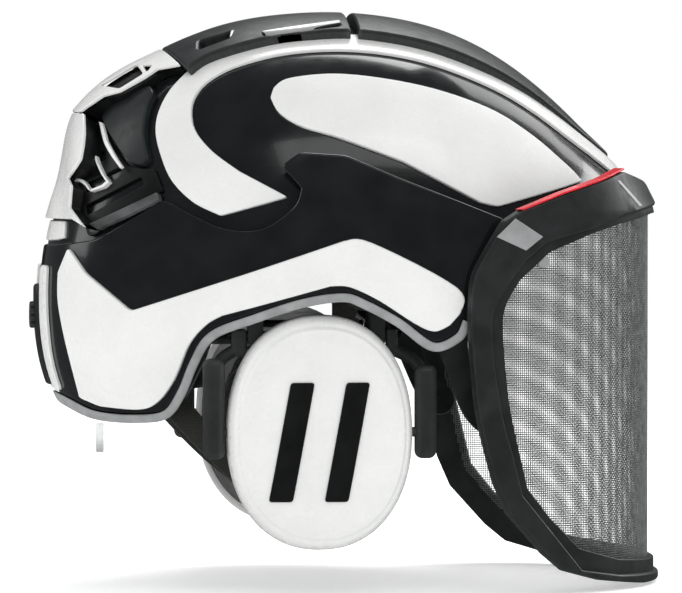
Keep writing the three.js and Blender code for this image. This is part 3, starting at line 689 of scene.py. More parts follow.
# ---------- finishes ----------
class Look:
    """A procedural material; the methods add patterns in the object's own frame."""

    def __init__(self, name, color, rough, metal=0.0, coat=0.0, sheen=0.0, ior=1.5):
        self.material = bpy.data.materials.new(name)
        self.material.use_nodes = True
        self.tree = self.material.node_tree
        self.shader = self.tree.nodes["Principled BSDF"]
        self.color = color
        self.put("Base Color", (*color, 1)).put("Roughness", rough).put("Metallic", metal)
        self.put("Coat Weight", coat).put("Coat Roughness", 0.06).put("Sheen Weight", sheen)
        self.put("Sheen Roughness", 0.4).put("IOR", ior).put("Specular IOR Level", 0.5)
        self.coords = self.tree.nodes.new("ShaderNodeTexCoord").outputs["Object"]
        self.height = None
        self.material.diffuse_color = (*color, 1)

    def put(self, socket, value):
        self.shader.inputs[socket].default_value = value
        return self

    def node(self, kind, **values):
        n = self.tree.nodes.new(kind)
        for key, value in values.items():
            n.inputs[key].default_value = value
        return n

    def link(self, a, b):
        self.tree.links.new(a, b)

    def mapped(self, stretch):
        m = self.node("ShaderNodeMapping", Scale=stretch)
        self.link(self.coords, m.inputs["Vector"])
        return m.outputs["Vector"]

    def noise(self, scale, detail=4.0, rough=0.55, stretch=None):
        n = self.node("ShaderNodeTexNoise", Scale=scale, Detail=detail, Roughness=rough)
        self.link(self.mapped(stretch) if stretch else self.coords, n.inputs["Vector"])
        return n.outputs["Fac"]

    def cells(self, scale, feature="F1"):
        n = self.node("ShaderNodeTexVoronoi", Scale=scale)
        n.feature = feature
        self.link(self.coords, n.inputs["Vector"])
        return n.outputs["Distance"]

    def pattern(self, *numbers):
        """Cells when only a scale is given, perhaps with a feature's name; otherwise noise."""
        plain = len(numbers) == 1 or isinstance(numbers[1], str)
        return self.cells(*numbers) if plain else self.noise(*numbers)

    def wave(self, scale, direction, distort=0.0):
        n = self.node("ShaderNodeTexWave", Scale=scale, Distortion=distort)
        n.bands_direction = direction
        self.link(self.mapped((1, 1, 1)), n.inputs["Vector"])
        return n.outputs["Fac"]

    def times(self, a, b):
        n = self.node("ShaderNodeMath")
        n.operation = "MULTIPLY"
        for i, v in enumerate((a, b)):
            if isinstance(v, (int, float)):
                n.inputs[i].default_value = v
            else:
                self.link(v, n.inputs[i])
        return n.outputs[0]

    def spread(self, value, low, high, low_in=0.3, high_in=0.7):
        n = self.node("ShaderNodeMapRange", **{"From Min": low_in, "From Max": high_in,
                                               "To Min": low, "To Max": high})
        self.link(value, n.inputs["Value"])
        return n.outputs["Result"]

    def tint(self, value, dark, light, low=0.35, high=0.65):
        """Base colour that runs from dark to light shares of itself."""
        n = self.node("ShaderNodeValToRGB")
        n.color_ramp.elements[0].position, n.color_ramp.elements[1].position = low, high
        for e, share in zip(n.color_ramp.elements, (dark, light)):
            e.color = (*[min(1, c * share) for c in self.color], 1)
        self.link(value, n.inputs["Fac"])
        self.link(n.outputs["Color"], self.shader.inputs["Base Color"])

    def roughen(self, value, low, high):
        self.link(self.spread(value, low, high), self.shader.inputs["Roughness"])

    def bump(self, height, strength, distance):
        n = self.node("ShaderNodeBump", Strength=strength, Distance=distance)
        self.link(height, n.inputs["Height"])
        if self.height is not None:
            self.link(self.height, n.inputs["Normal"])
        self.height = n.outputs["Normal"]
        self.link(self.height, self.shader.inputs["Normal"])

    def worn(self, amount, light):
        """Painted edge highlight: edges and raised spots made a little lighter, in patches."""
        point = self.node("ShaderNodeNewGeometry").outputs["Pointiness"]
        edge = self.spread(point, 0.0, 1.0, 0.515, 0.56)
        mask = self.times(self.times(edge, self.noise(900, 3)), amount)
        mix = self.node("ShaderNodeMix")
        mix.data_type = "RGBA"
        share, dark, highlight_color = mix.inputs[0], mix.inputs[6], mix.inputs[7]
        source = self.shader.inputs["Base Color"]
        self.link(source.links[0].from_socket, dark)
        highlight_color.default_value = (*light, 1)
        self.link(mask, share)
        self.link(mix.outputs[2], source)


# name, colour, roughness, shader options, tint pattern and shares, roughness pattern and range,
# bumps as (pattern, strength, distance in metres), and the painted edge highlight: amount, colour
FINISHES = [
    ("gloss_black", (0.0062, 0.0072, 0.0078), 0.16, dict(coat=0.35), (60, 5), (0.8, 1.35),
     (34, 6, 0.65), (0.1, 0.24), [((520, 2), 0.05, 0.0004), ((28, 2), 0.05, 0.002)],
     (0.5, (0.05, 0.053, 0.056))),
    ("satin_black", (0.013, 0.0155, 0.0155), 0.42, {}, (90, 5), (0.78, 1.3), (210, 4), (0.36, 0.52),
     [((2300,), 0.12, 0.00025), ((60, 3), 0.06, 0.0008)], (0.6, (0.09, 0.094, 0.094))),
    ("frame_black", (0.0155, 0.0185, 0.0178), 0.4, {}, (75, 5), (0.8, 1.3), (160, 4), (0.33, 0.5),
     [((1900,), 0.1, 0.00025)], (0.7, (0.1, 0.105, 0.1))),
    ("dark_grey", (0.014, 0.0165, 0.017), 0.36, {}, (70, 5), (0.82, 1.25), (150, 4), (0.34, 0.5),
     [((1700,), 0.14, 0.0003)], (0.5, (0.12, 0.125, 0.125))),
    ("smooth_grey", (0.0165, 0.0205, 0.0205), 0.36, {}, (80, 5), (0.85, 1.2), (140, 4),
     (0.28, 0.42), [((1500,), 0.08, 0.0002)], None),
    ("deep_black", (0.0045, 0.005, 0.0055), 0.42, {}, (70, 5), (0.7, 1.4), (110, 4), (0.36, 0.5),
     [((1500,), 0.1, 0.0002)], None),
    # the sill's grey is a painted highlight: light caught along the black side cover's upper ledge
    ("sill_grey", (0.075, 0.08, 0.08), 0.34, {}, (55, 4, 0.55, (1, 1, 2)), (0.55, 1.5), (140, 4),
     (0.28, 0.42), [((1500,), 0.08, 0.0002)], None),
    # the light grey of the visor frame's facets is a painted highlight where they catch the light;
    # the visor stop is coloured with the same grey
    ("facet_grey", (0.27, 0.28, 0.278), 0.34, {}, (85, 5), (0.86, 1.12), (150, 4), (0.28, 0.42),
     [((1900,), 0.1, 0.0002)], None),
    ("dark_steel", (0.05, 0.052, 0.054), 0.4, dict(metal=1.0), (90, 4, 0.55, (1, 10, 1)),
     (0.75, 1.2), (400, 4), (0.35, 0.5), [((900, 3), 0.1, 0.0002)], None),
    ("white_panel", (0.765, 0.77, 0.755), 0.24, dict(coat=0.3), (38, 6), (0.965, 1.02), (120, 5),
     (0.2, 0.34), [((700, 2), 0.03, 0.0003)], None),
    ("grey_trim", (0.3, 0.31, 0.31), 0.5, {}, (110, 5), (0.86, 1.14), (300, 4), (0.42, 0.6),
     [((2600,), 0.16, 0.0002)], None),
    ("red_accent", (0.7, 0.008, 0.02), 0.36, {}, (180, 4), (0.86, 1.12), (260, 3), (0.26, 0.38),
     [((900, 2), 0.06, 0.0002)], None),
    ("foam", (0.05, 0.053, 0.057), 0.92, dict(sheen=0.2), (420, 4), (0.72, 1.5), None, None,
     [((760,), 0.5, 0.0008), ((90, 4), 0.25, 0.001)], None),
    ("liner", (0.045, 0.048, 0.052), 0.8, {}, (330,), (1.5, 0.7, 0.1, 0.7), None, None,
     [((330, "SMOOTH_F1"), 0.55, 0.0009), ((1500, 2), 0.1, 0.0002)], None),
    ("steel", (0.6, 0.61, 0.62), 0.3, dict(metal=1.0), (60, 4, 0.55, (1, 14, 1)), (0.82, 1.1),
     (400, 4, 0.55, (1, 12, 1)), (0.22, 0.42), [((1300, 3, 0.55, (1, 0.2, 1)), 0.12, 0.0002)],
     None),
    ("visor_mesh", (0.14, 0.147, 0.145), 0.5, {}, (240, 4), (0.75, 1.3), (500, 3), (0.35, 0.6), [],
     None),
    ("soft_black", (0.024, 0.026, 0.026), 0.55, dict(sheen=0.15), (130, 5), (0.8, 1.35), (90, 5),
     (0.48, 0.66), [((820,), 0.35, 0.0005), ((46, 5, 0.7), 0.35, 0.002)], None),
    ("clear", (0.88, 0.9, 0.9), 0.15, dict(ior=1.45), None, None, (300, 4), (0.12, 0.3),
     [((500, 2), 0.1, 0.0002)], None),
    ("floor", (0.9, 0.9, 0.9), 0.6, {}, (3, 3), (0.985, 1.0), None, None,
     [((120, 4), 0.05, 0.0005)], None)]


def looks():
    table = {}
    for name, color, rough, options, marks, shares, gloss, reach, bumps, edge_highlight in FINISHES:
        k = table[name] = Look(name, color, rough, **options)
        if marks:
            k.tint(k.pattern(*marks), *shares)
        if gloss:
            k.roughen(k.pattern(*gloss), *reach)
        for numbers, strength, distance in bumps:
            k.bump(k.pattern(*numbers), strength, distance)
        # painted highlight: the edges are lightened toward a lighter colour
        if edge_highlight:
            k.worn(*edge_highlight)
    table["clear"].put("Transmission Weight", 0.6)
    table["floor"].put("Emission Color", (1, 1, 1, 1)).put("Emission Strength", 0.4)
    k = table["webbing"] = Look("webbing", (0.045, 0.047, 0.039), 0.82, sheen=0.15)
    rib = k.times(k.wave(360, "DIAGONAL"), k.wave(420, "Z", 0.4))
    k.tint(rib, 0.55, 1.25, 0.1, 0.75)
    k.bump(rib, 0.7, 0.0005)
    k.bump(k.noise(1600, 3), 0.25, 0.0003)
    k = table["soft_knit"] = Look("soft_knit", (0.03, 0.032, 0.034), 0.85, sheen=0.4)
    loop = k.times(k.wave(300, "X", 1.2), k.wave(300, "Z", 1.2))
    k.tint(loop, 0.6, 1.6, 0.05, 0.6)
    k.bump(loop, 0.6, 0.0005)
    return {name: look.material for name, look in table.items()}


LOOK = looks()


# ---------- shell ----------
SHELL_WALL = 3.0
OPEN_BELOW = 0.9995            # a rim point with a larger share lies past the side view outline
DOME_CENTRE, DOME_RINGS, DOME_OVER = (-60.0, 60.0), 46, 260


def dome():
    """Outer shell: two skins, each side a fan of rays from one centre, joined round the rim."""
    rim = outline(
        [[152, 57], [120, 50], [95, 38], [72, 20], [56, -4], [49, -20], [40, -26], [29, -28],
         [12, -16], [-4, -6], [-16, -3], [-37, -6], [-60, -14], [-78, -22], [-86, -40],
         [-97, -61], [-112, -65], [-137, -65], [-160, -58]], fine=10)
    rim = resample(rim, 1.2, closed=False)
    skin = Skin(DOME)
    share, angle = skin.place(rim[:, 0], rim[:, 1], level(0))
    keep = share < OPEN_BELOW
    share, angle = share[keep], np.mod(angle[keep], 2 * math.pi)
    over = np.linspace(angle[-1], angle[0], DOME_OVER)
    share = np.concatenate([share, np.ones(len(over))])
    angle = np.concatenate([angle, over])
    radius = radius_at(DOME, np.degrees(angle))
    bx, bz = share * radius * np.cos(angle), share * radius * np.sin(angle)
    count, rays = DOME_RINGS, len(bx)
    s = np.sin(np.linspace(0, math.pi / 2, count + 1))[:, None]
    x, z = (c + s * (b - c) for c, b in zip(DOME_CENTRE, (bx, bz)))
    where = np.arctan2(z, x)
    part = np.hypot(x, z) / radius_at(DOME, np.degrees(where))
    part[-1] = share
    part = np.clip(part, 0, 1)
    parts = []
    for lift, reverse in ((0.0, False), (-SHELL_WALL, True)):
        for side in (1.0, -1.0):
            points = skin.point(part, where, level(lift), side).reshape(-1, 3)
            faces = tube(count + 1, rays, caps=False)
            faces[:rays] = [(0, quad[2], quad[3]) for quad in faces[:rays]]
            parts.append((points, [f[::-1] for f in faces] if reverse ^ (side < 0) else faces))
    edge_count = int(keep.sum())
    for side in (1.0, -1.0):
        outer = skin.point(share[:edge_count], angle[:edge_count], level(0), side)
        inner = skin.point(share[:edge_count], angle[:edge_count], level(-SHELL_WALL), side)
        start = len(outer)
        faces = [(i, i + 1, start + i + 1, start + i) for i in range(start - 1)]
        parts.append((np.concatenate([outer, inner]), faces))
    for side in (1.0, -1.0):
        for end in (0, edge_count - 1):
            a, r = angle[end], share[end]
            corner = [skin.point(np.array([q]), np.array([a]), level(h), side)[0]
                      for q, h in ((r, 0.0), (1.0, 0.0), (1.0, -SHELL_WALL), (r, -SHELL_WALL))]
            parts.append((np.array(corner), [(0, 1, 2, 3)]))
    verts, faces = join(parts)
    obj = make("dome_shell", verts, faces, LOOK["gloss_black"])
    smooth_edges(weld(obj, 0.02), 40, mend=True)
    piece(obj, "helmet", "outer_shell")


dome()

RIM_LINE = outline([[50, -17], [45, -26], [30, -31], [11, -18], [-6, -9], [-16, -6], [-36, -9],
                    [-60, -17], [-79, -25], [-87, -38], [-93, -54], [-101, -66], [-116, -69],
                    [-137, -68], [-153, -61], [-172, -52]], fine=8)[::-1]


def shifted(points, distance):
    way = unit(np.gradient(points, axis=0))
    return points + np.stack([-way[:, 1], way[:, 0]], -1) * distance


def rim_trim():
    """Soft edge strip that runs round the rim from one temple to the other."""
    section = [(0.0, -1.2), (0.0, 0.2), (0.5, 0.75), (1.3, 0.9), (3.2, 0.9), (4.0, 0.72),
               (4.5, 0.2), (4.5, -1.2), (3.4, -2.2), (1.1, -2.2)]
    skin = Skin(COVER)
    columns = []
    for across, rise in section:
        def grow(x, rise=rise):
            return cover_face(x) + rise
        line = shifted(resample(RIM_LINE, 1.0, closed=False), across)
        share, angle = skin.place(line[:, 0], line[:, 1], grow)
        angle = np.mod(angle, 2 * math.pi)
        k = int(np.argmax(share < 1))
        t = (share[k - 1] - 1) / (share[k - 1] - share[k])
        share = np.concatenate([[1.0], share[k:]])
        angle = np.concatenate([[angle[k - 1] + t * (angle[k] - angle[k - 1])], angle[k:]])
        run = np.concatenate([[0], np.cumsum(np.hypot(np.diff(share), np.diff(angle)))])
        s = run[-1] * (1 - np.cos(np.linspace(0, math.pi, 240))) / 2
        columns.append(skin.point(np.interp(s, run, share), np.interp(s, run, angle), grow))
    ring = np.stack(columns, 1)
    whole = np.concatenate([ring[::-1], ring[1:] * [1, -1, 1]])
    build("rim_trim_strip", (whole.reshape(-1, 3), tube(*whole.shape[:2])), "grey_trim", "helmet",
          "rim_trim", sharp=60)


rim_trim()

COVER_LOW = shifted(RIM_LINE, 4.8)
COVER_OUTLINE = np.concatenate([COVER_LOW, outline(
    [[49, -14], [52, 5], [60, 21], [68, 36]], [[14, 57]], [[-13, 68.5]], [[-36, 70]], [[-46, 63]],
    [[-36, 52], [-40, 42], [-56, 31], [-74, 31], [-88, 37]], [[-104, 46]], [[-138, 25]],
    [[-185, 18]])])
BAND = outline(
    [[44.5, -12], [43, 1], [-1, 24], [-15, 25]], [[-121, -11]], [[-143, 8]], [[-151, 21]],
    [[-156, 8], [-156, -8], [-152, -30], [-145, -57]],
    [[-135, -61], [-116, -62], [-107, -58], [-99, -46], [-92, -28], [-84, -18], [-76, -13]],
    [[-22, 2], [-12, 1.5], [3, -5.5], [21, -17], [31, -21], [39, -18]])
SWOOSH = outline(
    [[143, 60.5], [120, 78], [91, 99.5], [66, 113.5], [36, 124.8], [1, 130.8], [-28, 130],
     [-51, 126.5], [-79, 118], [-95, 106], [-104, 93], [-107, 80], [-104, 65], [-99, 54],
     [-89, 44], [-76, 37.5]], [[-42, 47]],
    [[-66, 60], [-79, 70], [-87, 80], [-89, 89], [-87, 98], [-79, 107], [-63, 115], [-35, 121.5],
     [-1, 122.5], [33, 117], [66, 105], [89, 92.5], [112, 76], [138, 57]])
TEARDROP = outline(
    [[-49, 98], [-45, 90], [-34, 83], [-15, 77], [17, 65]], [[57, 44]],
    [[66, 42], [110, 54], [112, 57], [103, 66], [86, 80], [64, 93], [30, 104], [-10, 110],
     [-38, 108], [-47, 103]])


def panel_lift(rise):
    return lambda x: cover_face(x) + rise


on_both(plate, "side_cover_{}_skin", [soften(COVER_OUTLINE, 3)], side_cover, pocket, cover_face,
        "gloss_black", "side_cover_{}", bevel=1.5, low=16)
on_both(plate, "band_panel_{}_skin", [soften(BAND, 2.5)], side_cover, panel_lift(GAP),
        panel_lift(GAP + PANEL), "white_panel", "band_panel_{}", bevel=0.9)
on_both(plate, "swoosh_{}_skin", [soften(SWOOSH, 2)], side_dome, GAP, GAP + PANEL, "white_panel",
        "swoosh_panel_{}", bevel=0.9)
on_both(plate, "teardrop_{}_skin", [soften(TEARDROP, 3)], side_dome, GAP, GAP + PANEL,
        "white_panel", "teardrop_panel_{}", bevel=0.9)


# ---------- crest, spine, rear ----------
CREST_LOW = outline([[150, 59], [120, 80], [91, 101.5], [66, 115.5], [36, 126.8], [1, 132.8],
                     [-28, 132], [-51, 128.5], [-79, 120], [-92, 111]], fine=8)


def crest_between(low_x, high_x):
    """Outline of the crest between two cross cuts, in the chart."""
    edge = resample(CREST_LOW, 1.5, closed=False)
    flat = top_dome.fold(edge, crest_rise)
    x = edge[:, 0]
    return soften(mirrored(flat[(x > low_x) & (x < high_x) & (flat[:, 1] > 0.5)]), 2)


def mirrored(right):
    return np.concatenate([right, (right * [1, -1])[::-1]])


def over_top(edge, grow, step=1.0, least=0.4):
    """Loop across the middle of the shell from its right edge line."""
    flat = top_dome.fold(resample(np.array(edge, float), step, closed=False), grow)
    return mirrored(flat[flat[:, 1] > least])


def anticlockwise(loop):
    return loop if area(loop) > 0 else loop[::-1]


def slot_pair(points, grow):
    hole = resample(soften(np.array(points, float), 1.2), 1.4)
    hole = top_dome.fold(hole, grow)
    return [hole, hole * [1, -1]]


MID_SLOTS = [[[-50, 130], [-10, 135.2], [-9, 136.6], [-50, 131.8]],
             [[-83, 123], [-67, 129], [-65.5, 132.6], [-82, 127.6]]]
CREST_LIPS = [[[-50.4, 132.2], [-30, 135.4], [-9, 138.4], [-9, 137], [-30, 134], [-49, 131.9]],
              [[-66.6, 129.4], [-65.2, 132.8], [-63.6, 133.1], [-66, 129.4]]]


def crest():
    plate("crest_front_skin", [crest_between(-1, 160)], top_dome, GAP, crest_rise, "dark_grey",
          "crest_cover_front", bevel=1.6, folded=True)
    middle = [crest_between(-91, -3)]
    for slot in MID_SLOTS:
        middle += slot_pair(slot, crest_rise)
    plate("crest_middle_skin", middle, top_dome, GAP, crest_rise, "dark_grey",
          "crest_cover_middle", bevel=1.6, folded=True)
    for i, lip in enumerate(CREST_LIPS):
        flat = top_dome.fold(resample(soften(np.array(lip, float), 0.6), 1.0), crest_rise)
        on_both(plate, "crest_lip_%d_{}" % i, [flat], top_dome, lambda x: crest_rise(x) - 3,
                lambda x: crest_rise(x) + 0.15, "white_panel", "crest_cover_middle", "dark_grey",
                bevel=0.3, folded=True, edge=1.0)


crest()


TAIL_EDGE = [[-93, 115], [-104.5, 113], [-110.8, 108.7], [-124, 101.3], [-132, 99.2],
             [-140.4, 93.4], [-143, 91.2], [-147.5, 91]]
TAIL_WINDOWS = [[[-132.4, 104.8], [-113.8, 115.8], [-111.4, 110.4], [-123.6, 102.8]],
                [[-111.2, 115.2], [-106.2, 115], [-109.6, 111.2]]]


CAP_WALL = 1.5
SPINE_EDGE = [[-146, 90], [-141.9, 90], [-142.3, 79.4], [-143.2, 73], [-144.6, 66.5],
              [-150.3, 56.4], [-149, 52.7], [-150, 41.4], [-146.5, 35.4], [-143.4, 31.2],
              [-149.4, 35.4], [-162, 35.8]]
LOW_EDGE = [[-162, 34.6], [-151.4, 34.4], [-152.2, 25.6], [-156, 24.4], [-162, 23.8]]


def spine_rise(x):
    return 4.3 + 9 * ease(-152, -133, x)


def capped(name, loops, top, node, well=0.0):
    """A white plate on a dark core, both over the middle of the shell."""
    plate(name + "_skin", loops, top_dome, lambda x: top(x) - CAP_WALL, top, "white_panel", node,
          bevel=0.6, folded=True)
    plate(name + "_core", [inset(anticlockwise(loops[0]), 0.5)], top_dome, GAP,
          lambda x: top(x) - CAP_WALL - 0.05 - well, "deep_black", node, "white_panel", bevel=0,
          folded=True)


def strip_loop(chart, grow, rows):
    """Loop in the chart from (angle in degrees, distance from the middle) pairs."""
    rows = np.array(rows, float)
    return chart.at(np.radians(rows[:, 0]), rows[:, 1], grow)


def rear():
    loops = [soften(over_top(TAIL_EDGE, crest_rise, 1.2), 1.2)]
    for window in TAIL_WINDOWS:
        loops += slot_pair(window, crest_rise)
    capped("crest_rear", loops, crest_rise, "crest_cover_rear", well=2.0)
    capped("spine", [soften(over_top(SPINE_EDGE, spine_rise), 1.2)], spine_rise, "rear_spine")
    plate("spine_foot", [soften(over_top(LOW_EDGE, level(1.4)), 1.0)], top_dome, -0.6, 1.4,
          "white_panel", "rear_spine", bevel=0.9, folded=True)
    body = [(179.6, 15.2), (179.6, -15.2), (198.0, -12.4), (198.0, 12.4)]
    plate("adjuster_body_skin", [soften(strip_loop(top_dome, level(5.4), body), 5)], top_dome, 0.4,
          5.4, "satin_black", "adjuster_housing", bevel=1.8, folded=True)
    strip = [(176.0, 16.8), (176.0, 27.5), (188, 28.6), (199.2, 26.5), (199.2, 16.8)]
    on_both(plate, "rear_strip_{}_skin", [soften(strip_loop(top_cover, level(4.8), strip), 3)],
            top_cover, 3.1, 4.8, "white_panel", "rear_strip_{}", bevel=0.8, folded=True)


rear()

GRILLE = outline([[-104, 50]], [[-108, 61.5]], [[-113.6, 61.4]], [[-120.6, 62.6]],
                 [[-126, 69.9], [-130.9, 79.6], [-133.9, 87.2]], [[-132, 95]], [[-138.5, 90.4]],
                 [[-140.8, 88]], [[-141.6, 79.4], [-143.1, 68.1], [-149.6, 56.4]],
                 [[-148.2, 52.7]], [[-149.2, 41.7]], [[-142.2, 31.2]], [[-141, 26.8]], [[-138, 27]])
VENT_SLOTS = [[[-141, 37.5], [-113, 53], [-114.5, 57], [-142, 42]],
              [[-141, 49], [-123, 58], [-124.5, 62], [-141, 54]],
              [[-139, 62], [-131, 66.4], [-132, 71], [-138.4, 67.6]]]
VENT_COVER = outline([[-118.9, 99.6]], [[-108, 104.6]],
                     [[-106.9, 100.6], [-110.3, 93.9], [-112.3, 85.1], [-112.7, 75.9],
                      [-111, 66.7]], [[-114.5, 63.1]], [[-119.8, 64.1]],
                     [[-124.9, 70.8], [-129.7, 80.1], [-132.5, 87.5]], [[-130.5, 95]])
FIN = outline([[-134.1, 85.8]], [[-132.7, 85.2]], [[-131, 75.9], [-127.4, 68.2], [-124, 62.4]],
              [[-125.2, 61.7]], [[-128.9, 67.4], [-132.4, 74.9], [-134.1, 85.8]])[:-1]
BLADE = outline([[-138.2, 73]], [[-137.2, 72.2]], [[-135.6, 65], [-133, 58.6], [-130.4, 54.6]],
                [[-133.4, 51.8]], [[-139.6, 49.6]], [[-139.3, 50.8]], [[-134, 53]], [[-132, 54.9]],
                [[-134.2, 58.6], [-136.6, 65], [-138.2, 73]])[:-1]
CURL = outline([[-148.9, 54.9]], [[-146, 56.4], [-142.8, 55.6], [-140.6, 52.4], [-139.6, 50.6]],
               [[-140.4, 50.2]], [[-141.9, 52.6], [-145, 54.6], [-148.9, 53.7]])
LEDGE = outline([[-141, 33.2]], [[-107.4, 49.6]], [[-106.4, 45.6]], [[-140.4, 28.6]])


def vents():
    slots = [soften(np.array(s, float), 1.2) for s in VENT_SLOTS]
    grille, blade = ("vent_grille_{}", "satin_black"), dict(bevel=0.5, low=10, edge=0.9)
    on_both(plate, "vent_grille_{}_skin", [soften(GRILLE, 1.5)] + slots, side_dome, GAP, 2.0,
            "deep_black", *grille, bevel=0.6, low=9, step=2.6)
    on_both(plate, "vent_cover_{}_skin", [soften(VENT_COVER, 1.5)], side_dome, GAP, 4.0,
            "smooth_grey", *grille, bevel=1.0, low=8, step=2.6)
    # the sill is painted grey as a highlight on the side cover's ledge
    on_both(plate, "vent_sill_{}", [soften(LEDGE, 0.8)], side_dome, 2.0, 5.2, "sill_grey", *grille,
            bevel=1.0, low=8, edge=1.0)
    on_both(plate, "vent_fin_{}_skin", [FIN], side_dome, 4.1, 5.9, "white_panel", "vent_fin_{}",
            **blade)
    on_both(plate, "vent_blade_{}", [BLADE], side_dome, 2.0, 4.4, "white_panel", "rear_spine",
            **blade)
    on_both(plate, "vent_curl_{}", [CURL], side_dome, 2.0, 4.2, "white_panel", "rear_spine",
            **blade)


vents()


# ---------- visor ----------
def visor_loop(*runs):
    """Closed loop on the visor from its right half, listed from the top middle down."""
    half = resample(outline(*runs), 1.6, closed=False)
    first, last = half[0].copy(), half[-1].copy()
    flat = visor_chart.fold(half, level(0))
    flat = flat[flat[:, 0] > 0.8]
    flat = np.concatenate([[[0, first[1]]], flat, [[0, last[1]]]])
    return np.concatenate([flat, (flat[1:-1] * [-1, 1])[::-1]])


FRAME_EDGE = visor_loop([[156.2, 50]], [[155, 50.8]], [[147, 55.5]], [[132, 60]], [[118, 55]],
                        [[96, 48]], [[74, 40]],
                        [[66, 35], [56, 19], [50, 7], [48.5, -6], [48.5, -23], [50, -42],
                         [53, -66], [61, -97]], [[68, -113]], [[87, -134]], [[98, -143]],
                        [[119, -149]], [[145, -153]], [[159.6, -153.5]])
LIP_EDGE = visor_loop([[160, 43]], [[156, 43]], [[131, 37]], [[114, 31]], [[88, 24]],
                      [[77, 15], [66, 0], [60, -12], [59.5, -26], [61, -42], [65, -66], [70, -84],
                       [75, -104]], [[93, -126]], [[107, -143]], [[130, -147]], [[160, -149]])
OPENING = visor_loop([[160, 38]], [[154, 38]], [[131, 33]], [[114, 28]], [[91, 19]],
                     [[75, 5], [67, -9], [66, -24], [68, -48], [71, -67], [79, -101]], [[91, -116]],
                     [[107, -132]], [[130, -139]], [[147, -141]], [[160, -142]])


def visor():
    edge, lip, opening = soften(FRAME_EDGE, 4), soften(LIP_EDGE, 4), soften(OPENING, 4)
    frame = ("visor_frame", "satin_black", "visor")
    plate("visor_bar", [edge, lip], visor_chart, -FRAME_WALL, 2.4, "frame_black", *frame,
          bevel=1.3, folded=True)
    plate("visor_lip", [inset(anticlockwise(lip), -1.2), opening], visor_chart, -FRAME_WALL, 0.0,
          "frame_black", *frame, bevel=0.7, folded=True)


visor()


def woven_mesh():
    """Wire cloth: every wire is real and passes over and under the wires that cross it."""
    pitch, wire = 1.2, 0.2
    rim = visor_loop([[160, 42]], [[154, 42]], [[131, 36]], [[114, 31]], [[88.5, 22]],
                     [[73, 6], [64, -9], [63, -24], [65, -48], [68, -68], [76, -103]],
                     [[89, -119]], [[106, -135]], [[130, -142]], [[147, -144.5]], [[160, -145]])
    xs = np.arange(rim[:, 0].min() + pitch / 2, rim[:, 0].max(), pitch)
    zs = np.arange(rim[:, 1].min() + pitch / 2, rim[:, 1].max(), pitch)
    gx, gz = np.meshgrid(xs, zs, indexing="ij")
    good = inside(np.stack([gx.ravel(), gz.ravel()], -1), rim).reshape(gx.shape)
    wave = np.where((np.add.outer(np.arange(len(xs)), np.arange(len(zs))) % 2) == 0, 1.0, -1.0)
    middle = -FRAME_WALL - 0.9
    parts = []
    for upright in (True, False):
        lift = middle + (0.21 if upright else -0.21) * wave
        flat = np.stack([gx.ravel(), gz.ravel()], -1)
        place = visor_chart.unfold(flat, lambda x: lift.ravel()).reshape(*gx.shape, 3)
        lines = range(len(xs)) if upright else range(len(zs))
        for i in lines:
            ok = good[i] if upright else good[:, i]
            row = (place[i] if upright else place[:, i])[ok]
            if len(row) < 3:
                continue
            along = unit(np.gradient(row, axis=0))
            out = unit(row * [1, 1, 0])
            across = unit(np.cross(along, out))
            out = np.cross(across, along)
            ring = np.stack([row + across * wire, row + out * wire, row - across * wire,
                             row - out * wire], 1)
            parts.append((ring.reshape(-1, 3), tube(len(row), 4)))
    verts, faces = join(parts)
    obj = make("visor_wire_cloth", verts, faces, LOOK["visor_mesh"])
    piece(obj, "visor", "visor_mesh")


woven_mesh()

ACCENT = outline([[73.5, 40.7]], [[96, 49.3]], [[118, 56.2]], [[131.6, 61.6]], [[132.2, 60.8]],
                 [[118, 55.2]], [[96, 48.3]], [[75, 40.2]])
ARM = outline([[-9, 9], [4, 12], [24, 18], [56, 29], [79, 35.5], [87, 31], [86, 23], [70, 14],
               [56, 2], [50, -14], [50, -34], [56, -50], [67, -62], [65, -71], [57, -73],
               [48, -64], [40, -46], [34, -31], [22, -18], [4, -12], [-9, -9], [-12, 0], [-9, 9]])

# light grey plates on the black visor frame: painted highlights where its facets catch the light
FACET_HIGHLIGHTS = (("corner", [[62, 26.8], [71.7, 36.2], [86.3, 26.8], [77.3, 19.9]]),
          ("line", [[128.6, 55.2], [130.6, 55.2], [144.6, 42.2], [142.4, 41.8]]))


